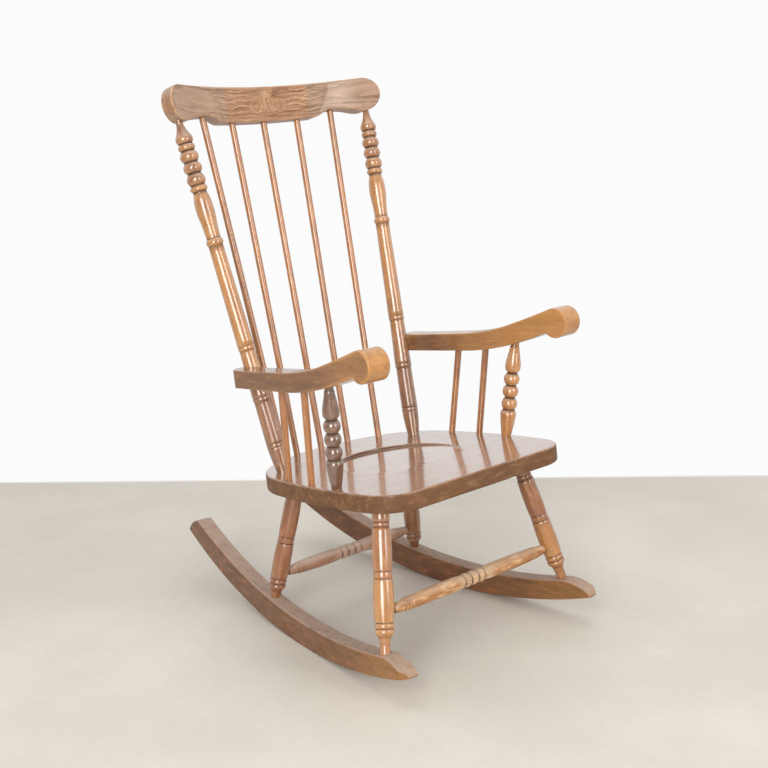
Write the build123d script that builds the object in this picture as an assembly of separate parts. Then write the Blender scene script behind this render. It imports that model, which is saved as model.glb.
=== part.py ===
from build123d import *
import math
import os

# Rocking chair with a spindle back: +Z up, front towards -Y, millimetres.
# Lower structure is placed in floor coordinates, everything above the seat
# in the seat frame (x, v, w): v runs back along the seat, w square to it.

# --- seat ---
seat_width = 508.0
seat_depth = 528.0
seat_thickness = 35.0
seat_height = 347.5            # top of the seat above the floor at v = 0
seat_set_y = 51.1              # v = 0 lies this far behind the touching point
seat_tilt = 6.7                # degrees down towards the back
seat_front_share = 0.687       # part of the depth that lies in front of v = 0
seat_top_round = 4.0
seat_bottom_round = 5.0
dish_radius = 131.0
dish_centre_v = -109.0
dish_depth = 6.0
dish_tilt = 1.5                # the dish is deep at the back and runs out forwards
seat_corner_share = 0.669      # where the straight front edge ends, part of the half width
seat_side_share = (0.982, 0.1355)   # widest place: part of the half width, part of the depth
seat_hip_share = (0.945, 0.694)
seat_back_share = (0.598, 0.9275)

# --- joints ---
fit_gap = 0.15                 # radial clearance of every tenon in its socket
end_gap = 0.6                  # space left at the bottom of a socket

# --- back ---
back_height = 727.4            # seat to the spindle tops, square to the seat
post_head_rise = 8.6           # the posts end this far above the spindle tops
back_splay = 65.6              # sideways run of a back post over its height
back_rake = 113.6              # backward run of a back post over its height
post_foot_x = 0.7244 * seat_width / 2
post_foot_v = 48.7
post_diameter = 36.0
post_rings = ((57.0, 1.0), (157.0, 1.02), (266.0, 0.96))   # station, part of the post's radius
post_bead_start = 622.5        # middle of the lowest bead, in the turning's own stations
post_bead_pitch = 23.5
post_bead_count = 3
post_head_run = 79.3           # last bead to the head; the stations are stretched to the post
post_tenon_share = 0.74        # parts of the post's radius
post_top_share = 0.372
post_socket_depth = 24.0
post_top_socket = 24.0
spindle_diameter = 14.4
spindle_socket_depth = 20.0
spindle_top_socket = 20.0
spindle_foot_share = (0.515, 0.2823, 0.0)     # of the half width, outer spindle first
spindle_foot_inset = (56.7, 17.0, 11.9)       # from the seat's back edge
spindle_head_x = (170.8, 86.8, 0.0)

# --- crest rail ---
crest_radius = 612.0           # plan radius at mid thickness
crest_thickness = 37.0
crest_top = 70.0
crest_lobe_radius = 37.0
crest_lobe_x = 239.5
crest_lean = 6.5               # degrees behind square to the seat
crest_set_v = 216.7            # where the rail stands over the seat
tablet_half = 122.0
tablet_drop = 4.6
crest_waist = 9.0
crest_shoulder = 40.0          # run from the tablet's corner up to the waist
panel_depth = 1.2
panel_corners = ((-157.0, 64.0), (168.0, 64.0), (140.0, 5.0), (-122.0, 5.0))
panel_corner_radius = 6.0
rosette_x = 24.0
rosette_y = 27.0
rosette_radius = 10.5
fan_y = 38.0                   # root of the fan of petals over the rosettes
fan_reach = 13.0               # root to the middle of a petal
fan_petal = (3.6, 10.5)
fan_turns = (-50.0, -25.0, 0.0, 25.0, 50.0)
leaf_root_x = 36.0
leaves = ((104.0, 14.0, 46.0), (88.0, 6.0, 34.0), (64.0, -2.0, 22.0))   # length, rise, root height

# --- arms ---
arm_width = 49.0
arm_post_inset = 21.5          # outer face to the line of the posts and spindles
arm_thickness = 37.0
arm_height = 223.5             # top of the rear half above the seat
arm_spread = 280.8             # outer face at the scroll
arm_flare = 3.2                # degrees
arm_rear_v = 92.0
arm_rear_chamfer = 17.0
scroll_radius = 30.5
scroll_v = -355.8
scroll_rise = 21.6             # scroll centre above the rear half's top
arm_round = 1.8
throat_radius = 5.0
arm_slope = 17.0               # degrees, the arm climbs this steeply into the scroll
arm_top_curve = ((20.0, -0.3), (-65.0, 1.0), (-140.0, 3.6), (-200.0, 11.5), (-262.0, 26.5))
arm_low_curve = ((-262.0, 19.5), (-197.0, 7.6), (-137.0, 1.6), (-70.0, 0.6))
arm_under_table = ((120.0, 0.0), (0.0, 0.0)) + arm_low_curve[::-1] + ((-331.0, 39.0),)

# --- arm posts and arm spindles ---
arm_post_foot_x = 0.9224 * seat_width / 2
arm_post_foot_v = -191.2
arm_post_head_v = -228.5
arm_post_diameter = 33.5
arm_post_bead_start = 73.9     # middle of the lowest bead, in the turning's own stations
arm_post_bead_pitch = 26.45
arm_post_bead_count = 3
arm_post_head_run = 76.4       # last bead to the head; the stations are stretched to the post
arm_post_tenon_share = 0.615   # parts of the post's radius
arm_post_head_share = 0.52
arm_post_socket = 22.0
arm_spindle_foot_share = (0.8992, 0.9193)   # of the half width
arm_spindle_foot_v = (-30.9, -111.8)
arm_spindle_head_v = (-65.6, -144.5)
arm_socket_depth = 16.0

# --- legs ---
front_leg_diameter = 39.5
rear_leg_diameter = 37.5
front_leg_neck = 35.0          # slender part above the rocker
rear_leg_neck = 20.0
front_leg_collar = 42.0        # plain part below the seat
rear_leg_collar = 20.0
front_leg_top_x = 0.7492 * seat_width / 2
front_leg_inset = 101.0        # leg centre from the seat's front edge
front_leg_rake = 67.5          # the foot stands this far in front of the head
rear_leg_top_x = 0.6102 * seat_width / 2
rear_leg_inset = 117.2         # leg centre from the seat's back edge
rear_leg_rake = 33.6           # the foot stands this far behind the head
leg_socket_depth = 24.0
leg_tenon_radius = 13.5
foot_tenon_radius = 10.0       # the neck goes into the rocker at its full size
foot_socket_depth = 22.0

# --- stretchers ---
stretcher_diameter = 29.0
stretcher_tenon_radius = 6.5
stretcher_socket_depth = 14.0
front_stretcher_up = 75.0      # along the leg from the rocker
rear_stretcher_up = 50.0

# --- rockers ---
rocker_radius = 1120.0         # running edge
rocker_top_radius = 1195.0     # the top edge is flatter, so the rocker thins towards the front
rocker_height = 52.4           # lowest place of the top edge above the floor
rocker_top_y = -17.0           # where the top edge is lowest
rocker_width = 36.0
rocker_x = 217.5               # mid thickness at y = 0
rocker_toe = 6.69              # degrees, fronts wider apart than the tails
rocker_front_reach = 81.0      # tip in front of the front foot
rocker_nose = 74.0             # the nose begins this far behind the tip
rocker_nose_fall = 38.0        # the nose turns down this far behind the tip
rocker_bevel_width = 14.0      # flat cut on the outer corner of the nose
rocker_bevel_length = 16.0
rocker_rear_reach = 367.8      # tail behind the rear foot
rocker_rear_cut = 50.0
rocker_rear_bulge = 8.0        # the tail's end is rounded this far beyond a straight cut
rocker_balance_y = 8.0         # touching point, a few millimetres from under the balance point

# --- arm screws ---
screw_radius = 2.2
screw_head_radius = 4.4
screw_head_height = 2.6
screw_into_arm = 26.0
screw_turn = 50.0              # degrees from straight forward, outwards
screw_clearance = 0.12
screw_sink_share = 0.844       # the head sits this part of the post's radius behind its line

os.makedirs("parts", exist_ok=True)


# ---------------------------------------------------------------- frames
def seat_point(x, v, w):
    """Floor coordinates of a point given in the seat frame."""
    a = math.radians(seat_tilt)
    y = seat_set_y + v * math.cos(a) + w * math.sin(a)
    z = seat_height - v * math.sin(a) + w * math.cos(a)
    return Vector(x, y, z)


def seat_vector(x, v, w):
    """Floor direction of a direction given in the seat frame."""
    return seat_point(x, v, w) - seat_point(0, 0, 0)


def mirrored(shape):
    """The same piece on the other side of the chair."""
    return mirror(shape, about=Plane.YZ)


def toward(start, end, distance):
    """A point a given distance from start along start-end."""
    run = end - start
    return start + run * (distance / run.length)


# ---------------------------------------------------------------- helpers
def turned(start, end, moves):
    """Revolve a profile round the line start-end.

    moves: ("l", s, r) straight to; ("a", s, r, sm, rm) arc through the
    middle point; ("s", ((s, r), ...)) smooth curve through the points.
    The first move gives the first radius.
    """
    first = moves[0]
    here = (first[2], first[1])
    edges = [Line((0, here[1]), here)]
    for move in moves[1:]:
        if move[0] == "s":
            points = [here] + [(r, s) for s, r in move[1]]
            edges.append(Spline(*points))
            here = points[-1]
        else:
            there = (move[2], move[1])
            if move[0] == "l":
                edges.append(Line(here, there))
            else:
                edges.append(ThreePointArc(here, (move[4], move[3]), there))
            here = there
    edges.append(Line(here, (0, here[1])))
    edges.append(Line((0, here[1]), (0, first[1])))
    face = make_face(edges)
    solid = revolve(Plane.XZ * face, axis=Axis.Z)
    axis = (end - start).normalized()
    side = Vector(1, 0, 0) if abs(axis.X) < 0.9 else Vector(0, 1, 0)
    return Plane(origin=start, x_dir=side.cross(axis), z_dir=axis) * solid


def rod(start, end, radius):
    """Plain cylinder from start to end."""
    run = end - start
    side = Vector(1, 0, 0) if abs(run.normalized().X) < 0.9 else Vector(0, 1, 0)
    frame = Plane(origin=start, x_dir=side.cross(run), z_dir=run)
    return frame * Cylinder(radius, run.length, align=(Align.CENTER, Align.CENTER, Align.MIN))


def socket(mouth, inward, depth, radius):
    """Round socket cutter that starts a little outside the mouth."""
    d = inward.normalized()
    return rod(mouth - d * 12.0, mouth + d * (depth + end_gap), radius + fit_gap)


# ---------------------------------------------------------------- seat
def seat_outline():
    """Straight front edge, rounded flanks and a rounded back."""
    half = seat_width / 2
    front = -seat_front_share * seat_depth
    corner = (seat_corner_share * half, front)
    side = (seat_side_share[0] * half, front + seat_side_share[1] * seat_depth)
    hip = (seat_hip_share[0] * half, front + seat_hip_share[1] * seat_depth)
    back = (seat_back_share[0] * half, front + seat_back_share[1] * seat_depth)
    first = TangentArc(corner, side, tangent=(1, 0))
    second = TangentArc(side, hip, tangent=first % 1)
    third = TangentArc(hip, back, tangent=second % 1)
    rear = TangentArc(back, (-back[0], back[1]), tangent=third % 1)
    flank = [first, second, third]
    edges = flank + [mirror(e, about=Plane.YZ) for e in flank]
    edges += [rear, Line((-corner[0], front), corner)]
    return make_face(edges)


seat_frame = Plane(
    origin=seat_point(0, 0, 0),
    x_dir=(1, 0, 0),
    z_dir=seat_vector(0, 0, 1),
)
seat = extrude(seat_outline(), amount=-seat_thickness)
seat = fillet(seat.faces().sort_by(Axis.Z)[-1].edges(), seat_top_round)
seat = fillet(seat.faces().sort_by(Axis.Z)[0].edges(), seat_bottom_round)
dish = Cylinder(dish_radius, seat_thickness, align=(Align.CENTER, Align.CENTER, Align.MIN))
dish = Rot(-dish_tilt, 0, 0) * Pos(0, -dish_radius, 0) * dish
dish = Pos(0, dish_centre_v + dish_radius, -dish_depth) * dish
seat = seat_frame * (seat - dish)

# ---------------------------------------------------------------- rockers
toe = math.radians(rocker_toe)
rocker_run = Vector(-math.sin(toe), math.cos(toe), 0)


def rocker_low_z(q):
    """Height of the running edge above the floor."""
    return rocker_radius - math.sqrt(rocker_radius**2 - (q - rocker_balance_y) ** 2)


def rocker_top_z(q):
    """Height of the top edge above the floor."""
    rise = rocker_top_radius - math.sqrt(rocker_top_radius**2 - (q - rocker_top_y) ** 2)
    return rocker_height + rise


def rocker_point(y):
    """Point on the rocker's top, in its mid plane, at a given y."""
    q = y / math.cos(toe)
    return Vector(rocker_x - q * math.sin(toe), y, rocker_top_z(q))


front_head = seat_point(
    front_leg_top_x,
    front_leg_inset - seat_front_share * seat_depth,
    -seat_thickness,
)
rear_head = seat_point(
    rear_leg_top_x,
    (1 - seat_front_share) * seat_depth - rear_leg_inset,
    -seat_thickness,
)
front_foot = rocker_point(front_head.Y - front_leg_rake)
rear_foot = rocker_point(rear_head.Y + rear_leg_rake)
tip = front_foot.Y / math.cos(toe) - rocker_front_reach
nose = tip + rocker_nose
tail = rear_foot.Y / math.cos(toe) + rocker_rear_reach
tail_top = tail - rocker_rear_cut
nose_slope = math.asin((rocker_top_y - nose) / rocker_top_radius)
tail_end = Vector(tail, rocker_low_z(tail))
tail_rim = Vector(tail_top, rocker_top_z(tail_top))
tail_chord = (tail_end - tail_rim).normalized()
tail_middle = (tail_end + tail_rim) * 0.5 + Vector(-tail_chord.Y, tail_chord.X) * rocker_rear_bulge
rocker_edges = [
    ThreePointArc(
        (tip, rocker_low_z(tip)),
        (rocker_balance_y, 0),
        tail_end,
    ),
    ThreePointArc(tail_end, tail_middle, tail_rim),
    ThreePointArc(
        tail_rim,
        (rocker_top_y, rocker_height),
        (nose, rocker_top_z(nose)),
    ),
    Spline(
        (nose, rocker_top_z(nose)),
        (tip + rocker_nose_fall, rocker_top_z(nose) - 0.8),
        (tip, rocker_low_z(tip)),
        tangents=[(-math.cos(nose_slope), math.sin(nose_slope)), (-0.5, -1)],
    ),
]
rocker_frame = Plane(
    origin=(rocker_x, 0, 0),
    x_dir=rocker_run,
    z_dir=rocker_run.cross(Vector(0, 0, 1)),
)
rocker_right = rocker_frame * extrude(make_face(rocker_edges), amount=rocker_width / 2, both=True)

# the outer corner of the nose is bevelled
rocker_plan = Plane(origin=(rocker_x, 0, 0), x_dir=rocker_run, z_dir=(0, 0, -1))
bevel_line = Vector(rocker_bevel_length, rocker_bevel_width)
bevel_inner = Vector(tip, rocker_width / 2 - rocker_bevel_width)
bevel_corner = Vector(tip - rocker_bevel_length, rocker_width)
bevel_face = make_face(
    Polyline(bevel_inner - bevel_line, bevel_inner + bevel_line * 2, bevel_corner, close=True)
)
rocker_right = rocker_right - rocker_plan * extrude(bevel_face, amount=4 * rocker_height, both=True)

# ---------------------------------------------------------------- legs
def leg_moves(length, diameter, neck, collar):
    """Neck, two beads, two long bodies with a flat ring between them, and a collar."""
    r = diameter / 2
    top = length - collar
    return [
        ("l", -foot_socket_depth, foot_tenon_radius),
        ("l", neck - 17.0, foot_tenon_radius),
        ("s", ((neck - 10.0, 0.58 * r), (neck - 4.0, 0.68 * r), (neck - 0.5, 0.80 * r))),
        ("l", neck + 1.0, 0.87 * r),
        ("a", neck + 9.5, 0.87 * r, neck + 5.2, 0.955 * r),
        ("l", neck + 10.6, 0.81 * r),
        ("l", neck + 11.6, 0.88 * r),
        ("a", neck + 20.5, 0.88 * r, neck + 16.0, 0.955 * r),
        ("l", neck + 21.8, 0.80 * r),
        ("l", neck + 23.2, 0.925 * r),
        ("s", (
            (neck + 35.0, 0.965 * r),
            (neck + 55.0, 1.0 * r),
            (neck + 80.0, 0.99 * r),
            (neck + 101.5, 0.94 * r),
        )),
        ("l", neck + 103.2, 0.83 * r),
        ("l", neck + 104.8, 0.89 * r),
        ("a", neck + 115.2, 0.89 * r, neck + 110.0, 0.91 * r),
        ("l", neck + 116.8, 0.83 * r),
        ("l", neck + 118.4, 0.92 * r),
        ("s", ((neck + 132.0, 0.95 * r), (neck + 155.0, 0.96 * r), (top - 2.0, 0.89 * r))),
        ("l", top, 0.75 * r),
        ("l", top + 1.4, 0.78 * r),
        ("a", top + 8.4, 0.78 * r, top + 4.9, 0.82 * r),
        ("l", top + 9.6, 0.75 * r),
        ("l", top + 11.0, 0.84 * r),
        ("l", length - 7.0, 0.87 * r),
        ("l", length - 6.0, leg_tenon_radius),
        ("l", length + leg_socket_depth, leg_tenon_radius),
    ]


def make_leg(foot, head, diameter, neck, collar):
    """Turned leg from its foot on the rocker to its head under the seat."""
    return turned(foot, head, leg_moves((head - foot).length, diameter, neck, collar))


front_leg = make_leg(front_foot, front_head, front_leg_diameter, front_leg_neck, front_leg_collar)
rear_leg = make_leg(rear_foot, rear_head, rear_leg_diameter, rear_leg_neck, rear_leg_collar)

# ---------------------------------------------------------------- stretchers
front_joint = toward(front_foot, front_head, front_stretcher_up)
rear_joint = toward(rear_foot, rear_head, rear_stretcher_up)


def make_stretcher(joint, leg_radius):
    """Turned rail between a leg and its mirror image, tenoned into both."""
    half = joint.X
    body = half - leg_radius + 0.5
    reach = half - leg_radius + stretcher_socket_depth
    r = stretcher_diameter / 2
    start = Vector(0, joint.Y, joint.Z)
    end = Vector(half, joint.Y, joint.Z)
    side = [
        ("l", 0.0, 0.95 * r),
        ("a", 9.0, 0.78 * r, 5.5, 0.91 * r),
        ("l", 10.0, 0.72 * r),
        ("l", 11.0, 0.80 * r),
        ("a", 27.0, 0.80 * r, 19.0, 0.98 * r),
        ("l", 28.5, 0.72 * r),
        ("l", 30.0, 0.87 * r),
        ("s", ((45.0, 0.97 * r), (75.0, 1.0 * r), (0.6 * body, 0.98 * r), (body - 43.0, 0.90 * r))),
        ("l", body - 42.0, 0.83 * r),
        ("a", body - 36.0, 0.84 * r, body - 39.0, 0.91 * r),
        ("l", body - 35.0, 0.80 * r),
        ("a", body - 29.0, 0.80 * r, body - 32.0, 0.88 * r),
        ("l", body - 28.0, 0.76 * r),
        ("s", ((body - 14.0, 0.70 * r), (body - 5.0, 0.60 * r))),
        ("l", body - 4.2, 0.58 * r),
        ("l", body - 3.4, stretcher_tenon_radius),
        ("l", reach, stretcher_tenon_radius),
    ]
    one = turned(start, end, side)
    return one + mirrored(one)


front_stretcher = make_stretcher(front_joint, front_leg_diameter / 2)
rear_stretcher = make_stretcher(rear_joint, rear_leg_diameter / 2)


def stretcher_socket(joint, leg_radius):
    """Cutter for the stretcher tenon in the leg on the +X side."""
    reach = joint.X - leg_radius + stretcher_socket_depth + end_gap
    inner = joint.X - leg_radius - 8.0
    return rod(
        Vector(inner, joint.Y, joint.Z),
        Vector(reach, joint.Y, joint.Z),
        stretcher_tenon_radius + fit_gap,
    )


front_leg = front_leg - stretcher_socket(front_joint, front_leg_diameter / 2)
rear_leg = rear_leg - stretcher_socket(rear_joint, rear_leg_diameter / 2)
for foot, head in ((front_foot, front_head), (rear_foot, rear_head)):
    rocker_right = rocker_right - socket(foot, foot - head, foot_socket_depth, foot_tenon_radius)
    cutter = socket(head, head - foot, leg_socket_depth, leg_tenon_radius)
    seat = seat - cutter - mirrored(cutter)

# ---------------------------------------------------------------- crest rail
lean = math.radians(crest_lean)
crest_origin = seat_point(0, crest_set_v, back_height)
crest_up = seat_vector(0, math.sin(lean), math.cos(lean))
crest_front = seat_vector(0, -math.cos(lean), math.sin(lean))
crest_frame = Plane(origin=crest_origin, x_dir=(1, 0, 0), z_dir=crest_front)
crest_plan = Plane(origin=crest_origin, x_dir=(1, 0, 0), z_dir=crest_up)


def crest_shell(r_inner, r_outer):
    """Upright slice of a hollow cylinder that follows the rail's curve."""
    tall = 5 * crest_lobe_radius
    centre = crest_plan * Pos(0, -crest_radius, crest_top - crest_lobe_radius)
    return centre * (Cylinder(r_outer, tall) - Cylinder(r_inner, tall))


def crest_prism(face):
    """Push a flat (x, height) face through the rail from front to back."""
    return crest_frame * extrude(face, amount=crest_radius / 3, both=True)


def crest_outline():
    """Front view of the rail: two round ears, waists and the middle tablet."""
    low = crest_top - 2 * crest_lobe_radius
    mid = crest_top - crest_lobe_radius
    lx = crest_lobe_x
    tw = tablet_half
    right = [
        Line((0, crest_top), (lx, crest_top)),
        ThreePointArc((lx, crest_top), (lx + crest_lobe_radius, mid), (lx, low)),
        Spline(
            (lx, low),
            (0.5 * (lx + tw + crest_shoulder), 0.62 * crest_waist),
            (tw + crest_shoulder, crest_waist),
            tangents=[(-1, 0.02), (-1, 0)],
        ),
        Spline(
            (tw + crest_shoulder, crest_waist),
            (tw, -tablet_drop),
            tangents=[(-1, 0), (-1, 0)],
        ),
        Line((tw, -tablet_drop), (0, -tablet_drop)),
    ]
    edges = right + [mirror(e, about=Plane.YZ) for e in right]
    return make_face(edges)


front_radius = crest_radius - crest_thickness / 2
crest = crest_prism(crest_outline()) & crest_shell(front_radius, front_radius + crest_thickness)
crest = crest.solids()[0]

# carved panel: a shallow sunk field with leaves, two rosettes and a fan left standing
field = make_face(Polyline(*panel_corners, close=True))
field = fillet(field.vertices(), panel_corner_radius)
standing = [Pos(side * rosette_x, rosette_y) * Circle(rosette_radius) for side in (-1, 1)]
for turn in fan_turns:
    standing.append(Pos(0, fan_y) * Rot(0, 0, -turn) * Pos(0, fan_reach) * Ellipse(*fan_petal))


def leaf_face(side, length, rise, low_y):
    """One long leaf that starts beside the rosette and ends towards the ear."""
    root = (side * leaf_root_x, low_y)
    point = (side * (leaf_root_x + length), low_y + rise)
    middle_x = side * (leaf_root_x + 0.5 * length)
    upper = Spline(root, (middle_x, low_y + rise + 6.0), point)
    lower = Spline(point, (middle_x, low_y + rise - 3.0), root)
    return make_face([upper, lower])


for side in (-1, 1):
    for length, rise, low_y in leaves:
        standing.append(leaf_face(side, length, rise, low_y))
ground = field
for shape in standing:
    ground = ground - shape
carving = crest_prism(ground) & crest_shell(front_radius - 1, front_radius + panel_depth)
crest = crest - carving

# ---------------------------------------------------------------- back posts
post_foot = seat_point(post_foot_x, post_foot_v, 0)
post_rise = back_height + post_head_rise
post_head = seat_point(post_foot_x + back_splay, post_foot_v + back_rake, post_rise)
post_length = (post_head - post_foot).length


def post_moves():
    """Tapered body with thin rings, a vase, a row of beads and a cup under the rail."""
    r = post_diameter / 2
    low = post_bead_start
    high = low + (post_bead_count - 1) * post_bead_pitch
    k = post_length / (high + post_head_run)
    tenon = post_tenon_share * r
    rows = [("l", -post_socket_depth, tenon), ("l", 4.0, tenon)]
    rows.append(("s", ((20.0 * k, 0.86 * r), (52.4 * k, 1.0 * r))))
    for s, body in post_rings:
        rows.append(("l", (s - 4.0) * k, (body - 0.075) * r))
        rows.append(("l", (s - 3.2) * k, (body - 0.01) * r))
        rows.append(("a", (s + 3.2) * k, (body - 0.01) * r, s * k, (body + 0.01) * r))
        rows.append(("l", (s + 4.0) * k, (body - 0.075) * r))
        rows.append(("l", (s + 4.8) * k, body * r))
    rows.append(("s", (((low - 259.5) * k, 0.91 * r), ((low - 138.5) * k, 0.845 * r))))
    rows.append(("a", (low - 124.5) * k, 0.80 * r, (low - 131.5) * k, 0.99 * r))
    vase = ((-102.5, 0.86), (-62.5, 1.03), (-42.5, 0.96), (-28.5, 0.78))
    rows.append(("s", tuple(((low + s) * k, share * r) for s, share in vase)))
    rows.append(("l", (low - 25.5) * k, 0.78 * r))
    rows.append(("a", (low - 13.0) * k, 0.76 * r, (low - 19.5) * k, 0.99 * r))
    for number in range(post_bead_count):
        s = low + number * post_bead_pitch
        rows.append(("a", (s + 11.0) * k, 0.76 * r, s * k, 1.06 * r))
        rows.append(("l", (s + 12.5) * k, 0.76 * r))
    rows.append(("a", (high + 26.5) * k, 0.74 * r, (high + 20.5) * k, 0.96 * r))
    rows.append(("a", (high + 41.5) * k, 0.92 * r, (high + 35.5) * k, 1.0 * r))
    head = post_top_share * r
    cup = (((high + 52.5) * k, 0.62 * r), ((high + 65.5) * k, 0.42 * r), (post_length - 5.0, head))
    rows.append(("s", cup))
    rows.append(("l", post_length + post_top_socket, head))
    return rows


post_right = turned(post_foot, post_head, post_moves())
post_seat_radius = post_tenon_share * post_diameter / 2
post_top_radius = post_top_share * post_diameter / 2
cutter = socket(post_foot, post_foot - post_head, post_socket_depth, post_seat_radius)
seat = seat - cutter - mirrored(cutter)
cutter = socket(post_head, post_head - post_foot, post_top_socket, post_top_radius)
crest = crest - cutter - mirrored(cutter)

# ---------------------------------------------------------------- back spindles
spindle_radius = spindle_diameter / 2
seat_back_v = (1 - seat_front_share) * seat_depth


def crest_spot(x, height):
    """Point inside the crest rail's mid thickness."""
    sag = crest_radius - math.sqrt(crest_radius**2 - x**2)
    return crest_origin + Vector(x, 0, 0) + crest_front * sag + crest_up * height


back_spindles = []
spindle_lines = []
for share, inset, head_x in zip(spindle_foot_share, spindle_foot_inset, spindle_head_x):
    foot = seat_point(share * seat_width / 2, seat_back_v - inset, 0)
    edge = crest_waist if head_x > tablet_half else -tablet_drop
    head = crest_spot(head_x, edge)
    spindle_lines.append((foot, head))
for foot, head in spindle_lines:
    run = (head - foot).normalized()
    piece = rod(foot - run * spindle_socket_depth, head + run * spindle_top_socket, spindle_radius)
    back_spindles.append(piece)
    low = socket(foot, foot - head, spindle_socket_depth, spindle_radius)
    high = socket(head, head - foot, spindle_top_socket, spindle_radius)
    seat = seat - low
    crest = crest - high
    if abs(foot.X) > 1.0:
        seat = seat - mirrored(low)
        crest = crest - mirrored(high)

# ---------------------------------------------------------------- arms
flare = math.radians(arm_flare)
arm_face_x = arm_spread + scroll_v * math.tan(flare)
arm_frame = Plane(
    origin=seat_point(arm_face_x, 0, arm_height),
    x_dir=seat_vector(-math.sin(flare), math.cos(flare), 0),
    z_dir=seat_vector(math.cos(flare), math.sin(flare), 0),
)


def scroll_point(degrees):
    """Point on the scroll's rim, measured from the arm's rear top edge."""
    a = math.radians(degrees)
    return (scroll_v + scroll_radius * math.cos(a), scroll_rise + scroll_radius * math.sin(a))


def arm_line_x(v):
    """Line of the posts and spindles under the arm, in the seat frame."""
    return arm_face_x - v * math.tan(flare) - arm_post_inset / math.cos(flare)


def arm_under(v):
    """Underside of the arm above the seat."""
    base = arm_height - arm_thickness
    for (v0, w0), (v1, w1) in zip(arm_under_table, arm_under_table[1:]):
        if v1 <= v <= v0:
            return base + w0 + (w1 - w0) * (v0 - v) / (v0 - v1)
    return base


top = 0.0
under = -arm_thickness
throat = scroll_point(-40)
crown = scroll_point(73)
climb = Vector(math.cos(math.radians(arm_slope)), math.sin(math.radians(arm_slope)))
low_curve = [(v, under + w) for v, w in arm_low_curve]
arm_edges = [
    Line((arm_rear_v, under), (arm_rear_v, top)),
    Spline((arm_rear_v, top), *arm_top_curve, crown, tangents=[(-1, 0), (-climb.X, climb.Y)]),
    ThreePointArc(crown, scroll_point(180), throat),
    Spline(throat, *low_curve, (arm_rear_v, under), tangents=[(climb.X, -climb.Y), (1, 0)]),
]
arm_profile = make_face(arm_edges)
arm_profile = fillet(arm_profile.vertices().sort_by_distance(throat)[0], throat_radius)
arm_right = extrude(arm_profile, amount=-arm_width)
long_edges = arm_right.faces().filter_by(Axis.Z).edges()
arm_right = fillet(long_edges, arm_round)
corner_size = arm_rear_chamfer * math.sqrt(2)
chamfer_block = Box(corner_size, corner_size, 4 * arm_thickness)
arm_right = arm_right - Pos(arm_rear_v, 0, 0) * Rot(-90, 0, 0) * Rot(0, 0, 45) * chamfer_block
arm_right = arm_frame * arm_right


# the post passes the arm in a scooped notch
def widened(rows, gap):
    """The same turned profile with every radius larger by the gap."""
    wide = []
    for row in rows:
        if row[0] == "s":
            wide.append(("s", tuple((s, r + gap) for s, r in row[1])))
        elif row[0] == "a":
            wide.append(("a", row[1], row[2] + gap, row[3], row[4] + gap))
        else:
            wide.append(("l", row[1], row[2] + gap))
    return wide


notch = turned(post_foot, post_head, widened(post_moves(), fit_gap))
arm_right = arm_right - notch

# ---------------------------------------------------------------- arm posts and arm spindles
arm_post_foot = seat_point(arm_post_foot_x, arm_post_foot_v, 0)
arm_post_head = seat_point(arm_line_x(arm_post_head_v), arm_post_head_v, arm_under(arm_post_head_v))


def arm_post_moves(length):
    """A vase, three beads and a second vase that runs out under the arm."""
    r = arm_post_diameter / 2
    first = arm_post_bead_start
    last = first + (arm_post_bead_count - 1) * arm_post_bead_pitch
    k = length / (last + arm_post_head_run)
    tenon = arm_post_tenon_share * r
    head = arm_post_head_share * r
    low_vase = ((-53.9, 0.78), (-31.9, 0.96), (-19.9, 0.985), (-12.9, 0.70))
    high_vase = ((20.2, 0.92), (28.2, 0.97), (48.2, 0.80), (63.2, 0.63))
    rows = [("l", -arm_post_socket, tenon), ("l", 3.0, tenon)]
    rows.append(("s", tuple(((first + s) * k, share * r) for s, share in low_vase)))
    for number in range(arm_post_bead_count):
        s = first + number * arm_post_bead_pitch
        rows.append(("a", (s + 12.2) * k, 0.62 * r, s * k, 1.0 * r))
        rows.append(("l", (s + 13.6) * k, 0.62 * r))
    rising = tuple(((last + s) * k, share * r) for s, share in high_vase)
    rows.append(("s", rising + ((length - 7.5, 0.60 * r),)))
    rows.append(("l", length - 6.0, head))
    rows.append(("l", length + arm_socket_depth, head))
    return rows


arm_post_run = arm_post_head - arm_post_foot
arm_post_right = turned(arm_post_foot, arm_post_head, arm_post_moves(arm_post_run.length))
arm_post_tenon = arm_post_tenon_share * arm_post_diameter / 2
arm_post_peg = arm_post_head_share * arm_post_diameter / 2
arm_post_low = socket(arm_post_foot, -arm_post_run, arm_post_socket, arm_post_tenon)
arm_post_high = socket(arm_post_head, arm_post_run, arm_socket_depth, arm_post_peg)
seat = seat - arm_post_low - mirrored(arm_post_low)
arm_right = arm_right - arm_post_high

arm_spindles = []
for share, foot_v, head_v in zip(arm_spindle_foot_share, arm_spindle_foot_v, arm_spindle_head_v):
    foot = seat_point(share * seat_width / 2, foot_v, 0)
    head = seat_point(arm_line_x(head_v), head_v, arm_under(head_v))
    run = (head - foot).normalized()
    low_end = foot - run * spindle_socket_depth
    arm_spindles.append(rod(low_end, head + run * arm_socket_depth, spindle_radius))
    low = socket(foot, foot - head, spindle_socket_depth, spindle_radius)
    seat = seat - low - mirrored(low)
    arm_right = arm_right - socket(head, head - foot, arm_socket_depth, spindle_radius)

# ---------------------------------------------------------------- arm screws
arm_mid_w = arm_height - arm_thickness / 2
post_share = arm_mid_w / post_rise
screw_mid = seat_point(
    post_foot_x + back_splay * post_share,
    post_foot_v + back_rake * post_share,
    arm_mid_w,
)
screw_angle = math.radians(screw_turn)
screw_run = seat_vector(math.sin(screw_angle), -math.cos(screw_angle), 0)
screw_back = post_diameter / 2 * screw_sink_share
screw_reach = post_diameter / 2 + screw_into_arm


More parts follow.
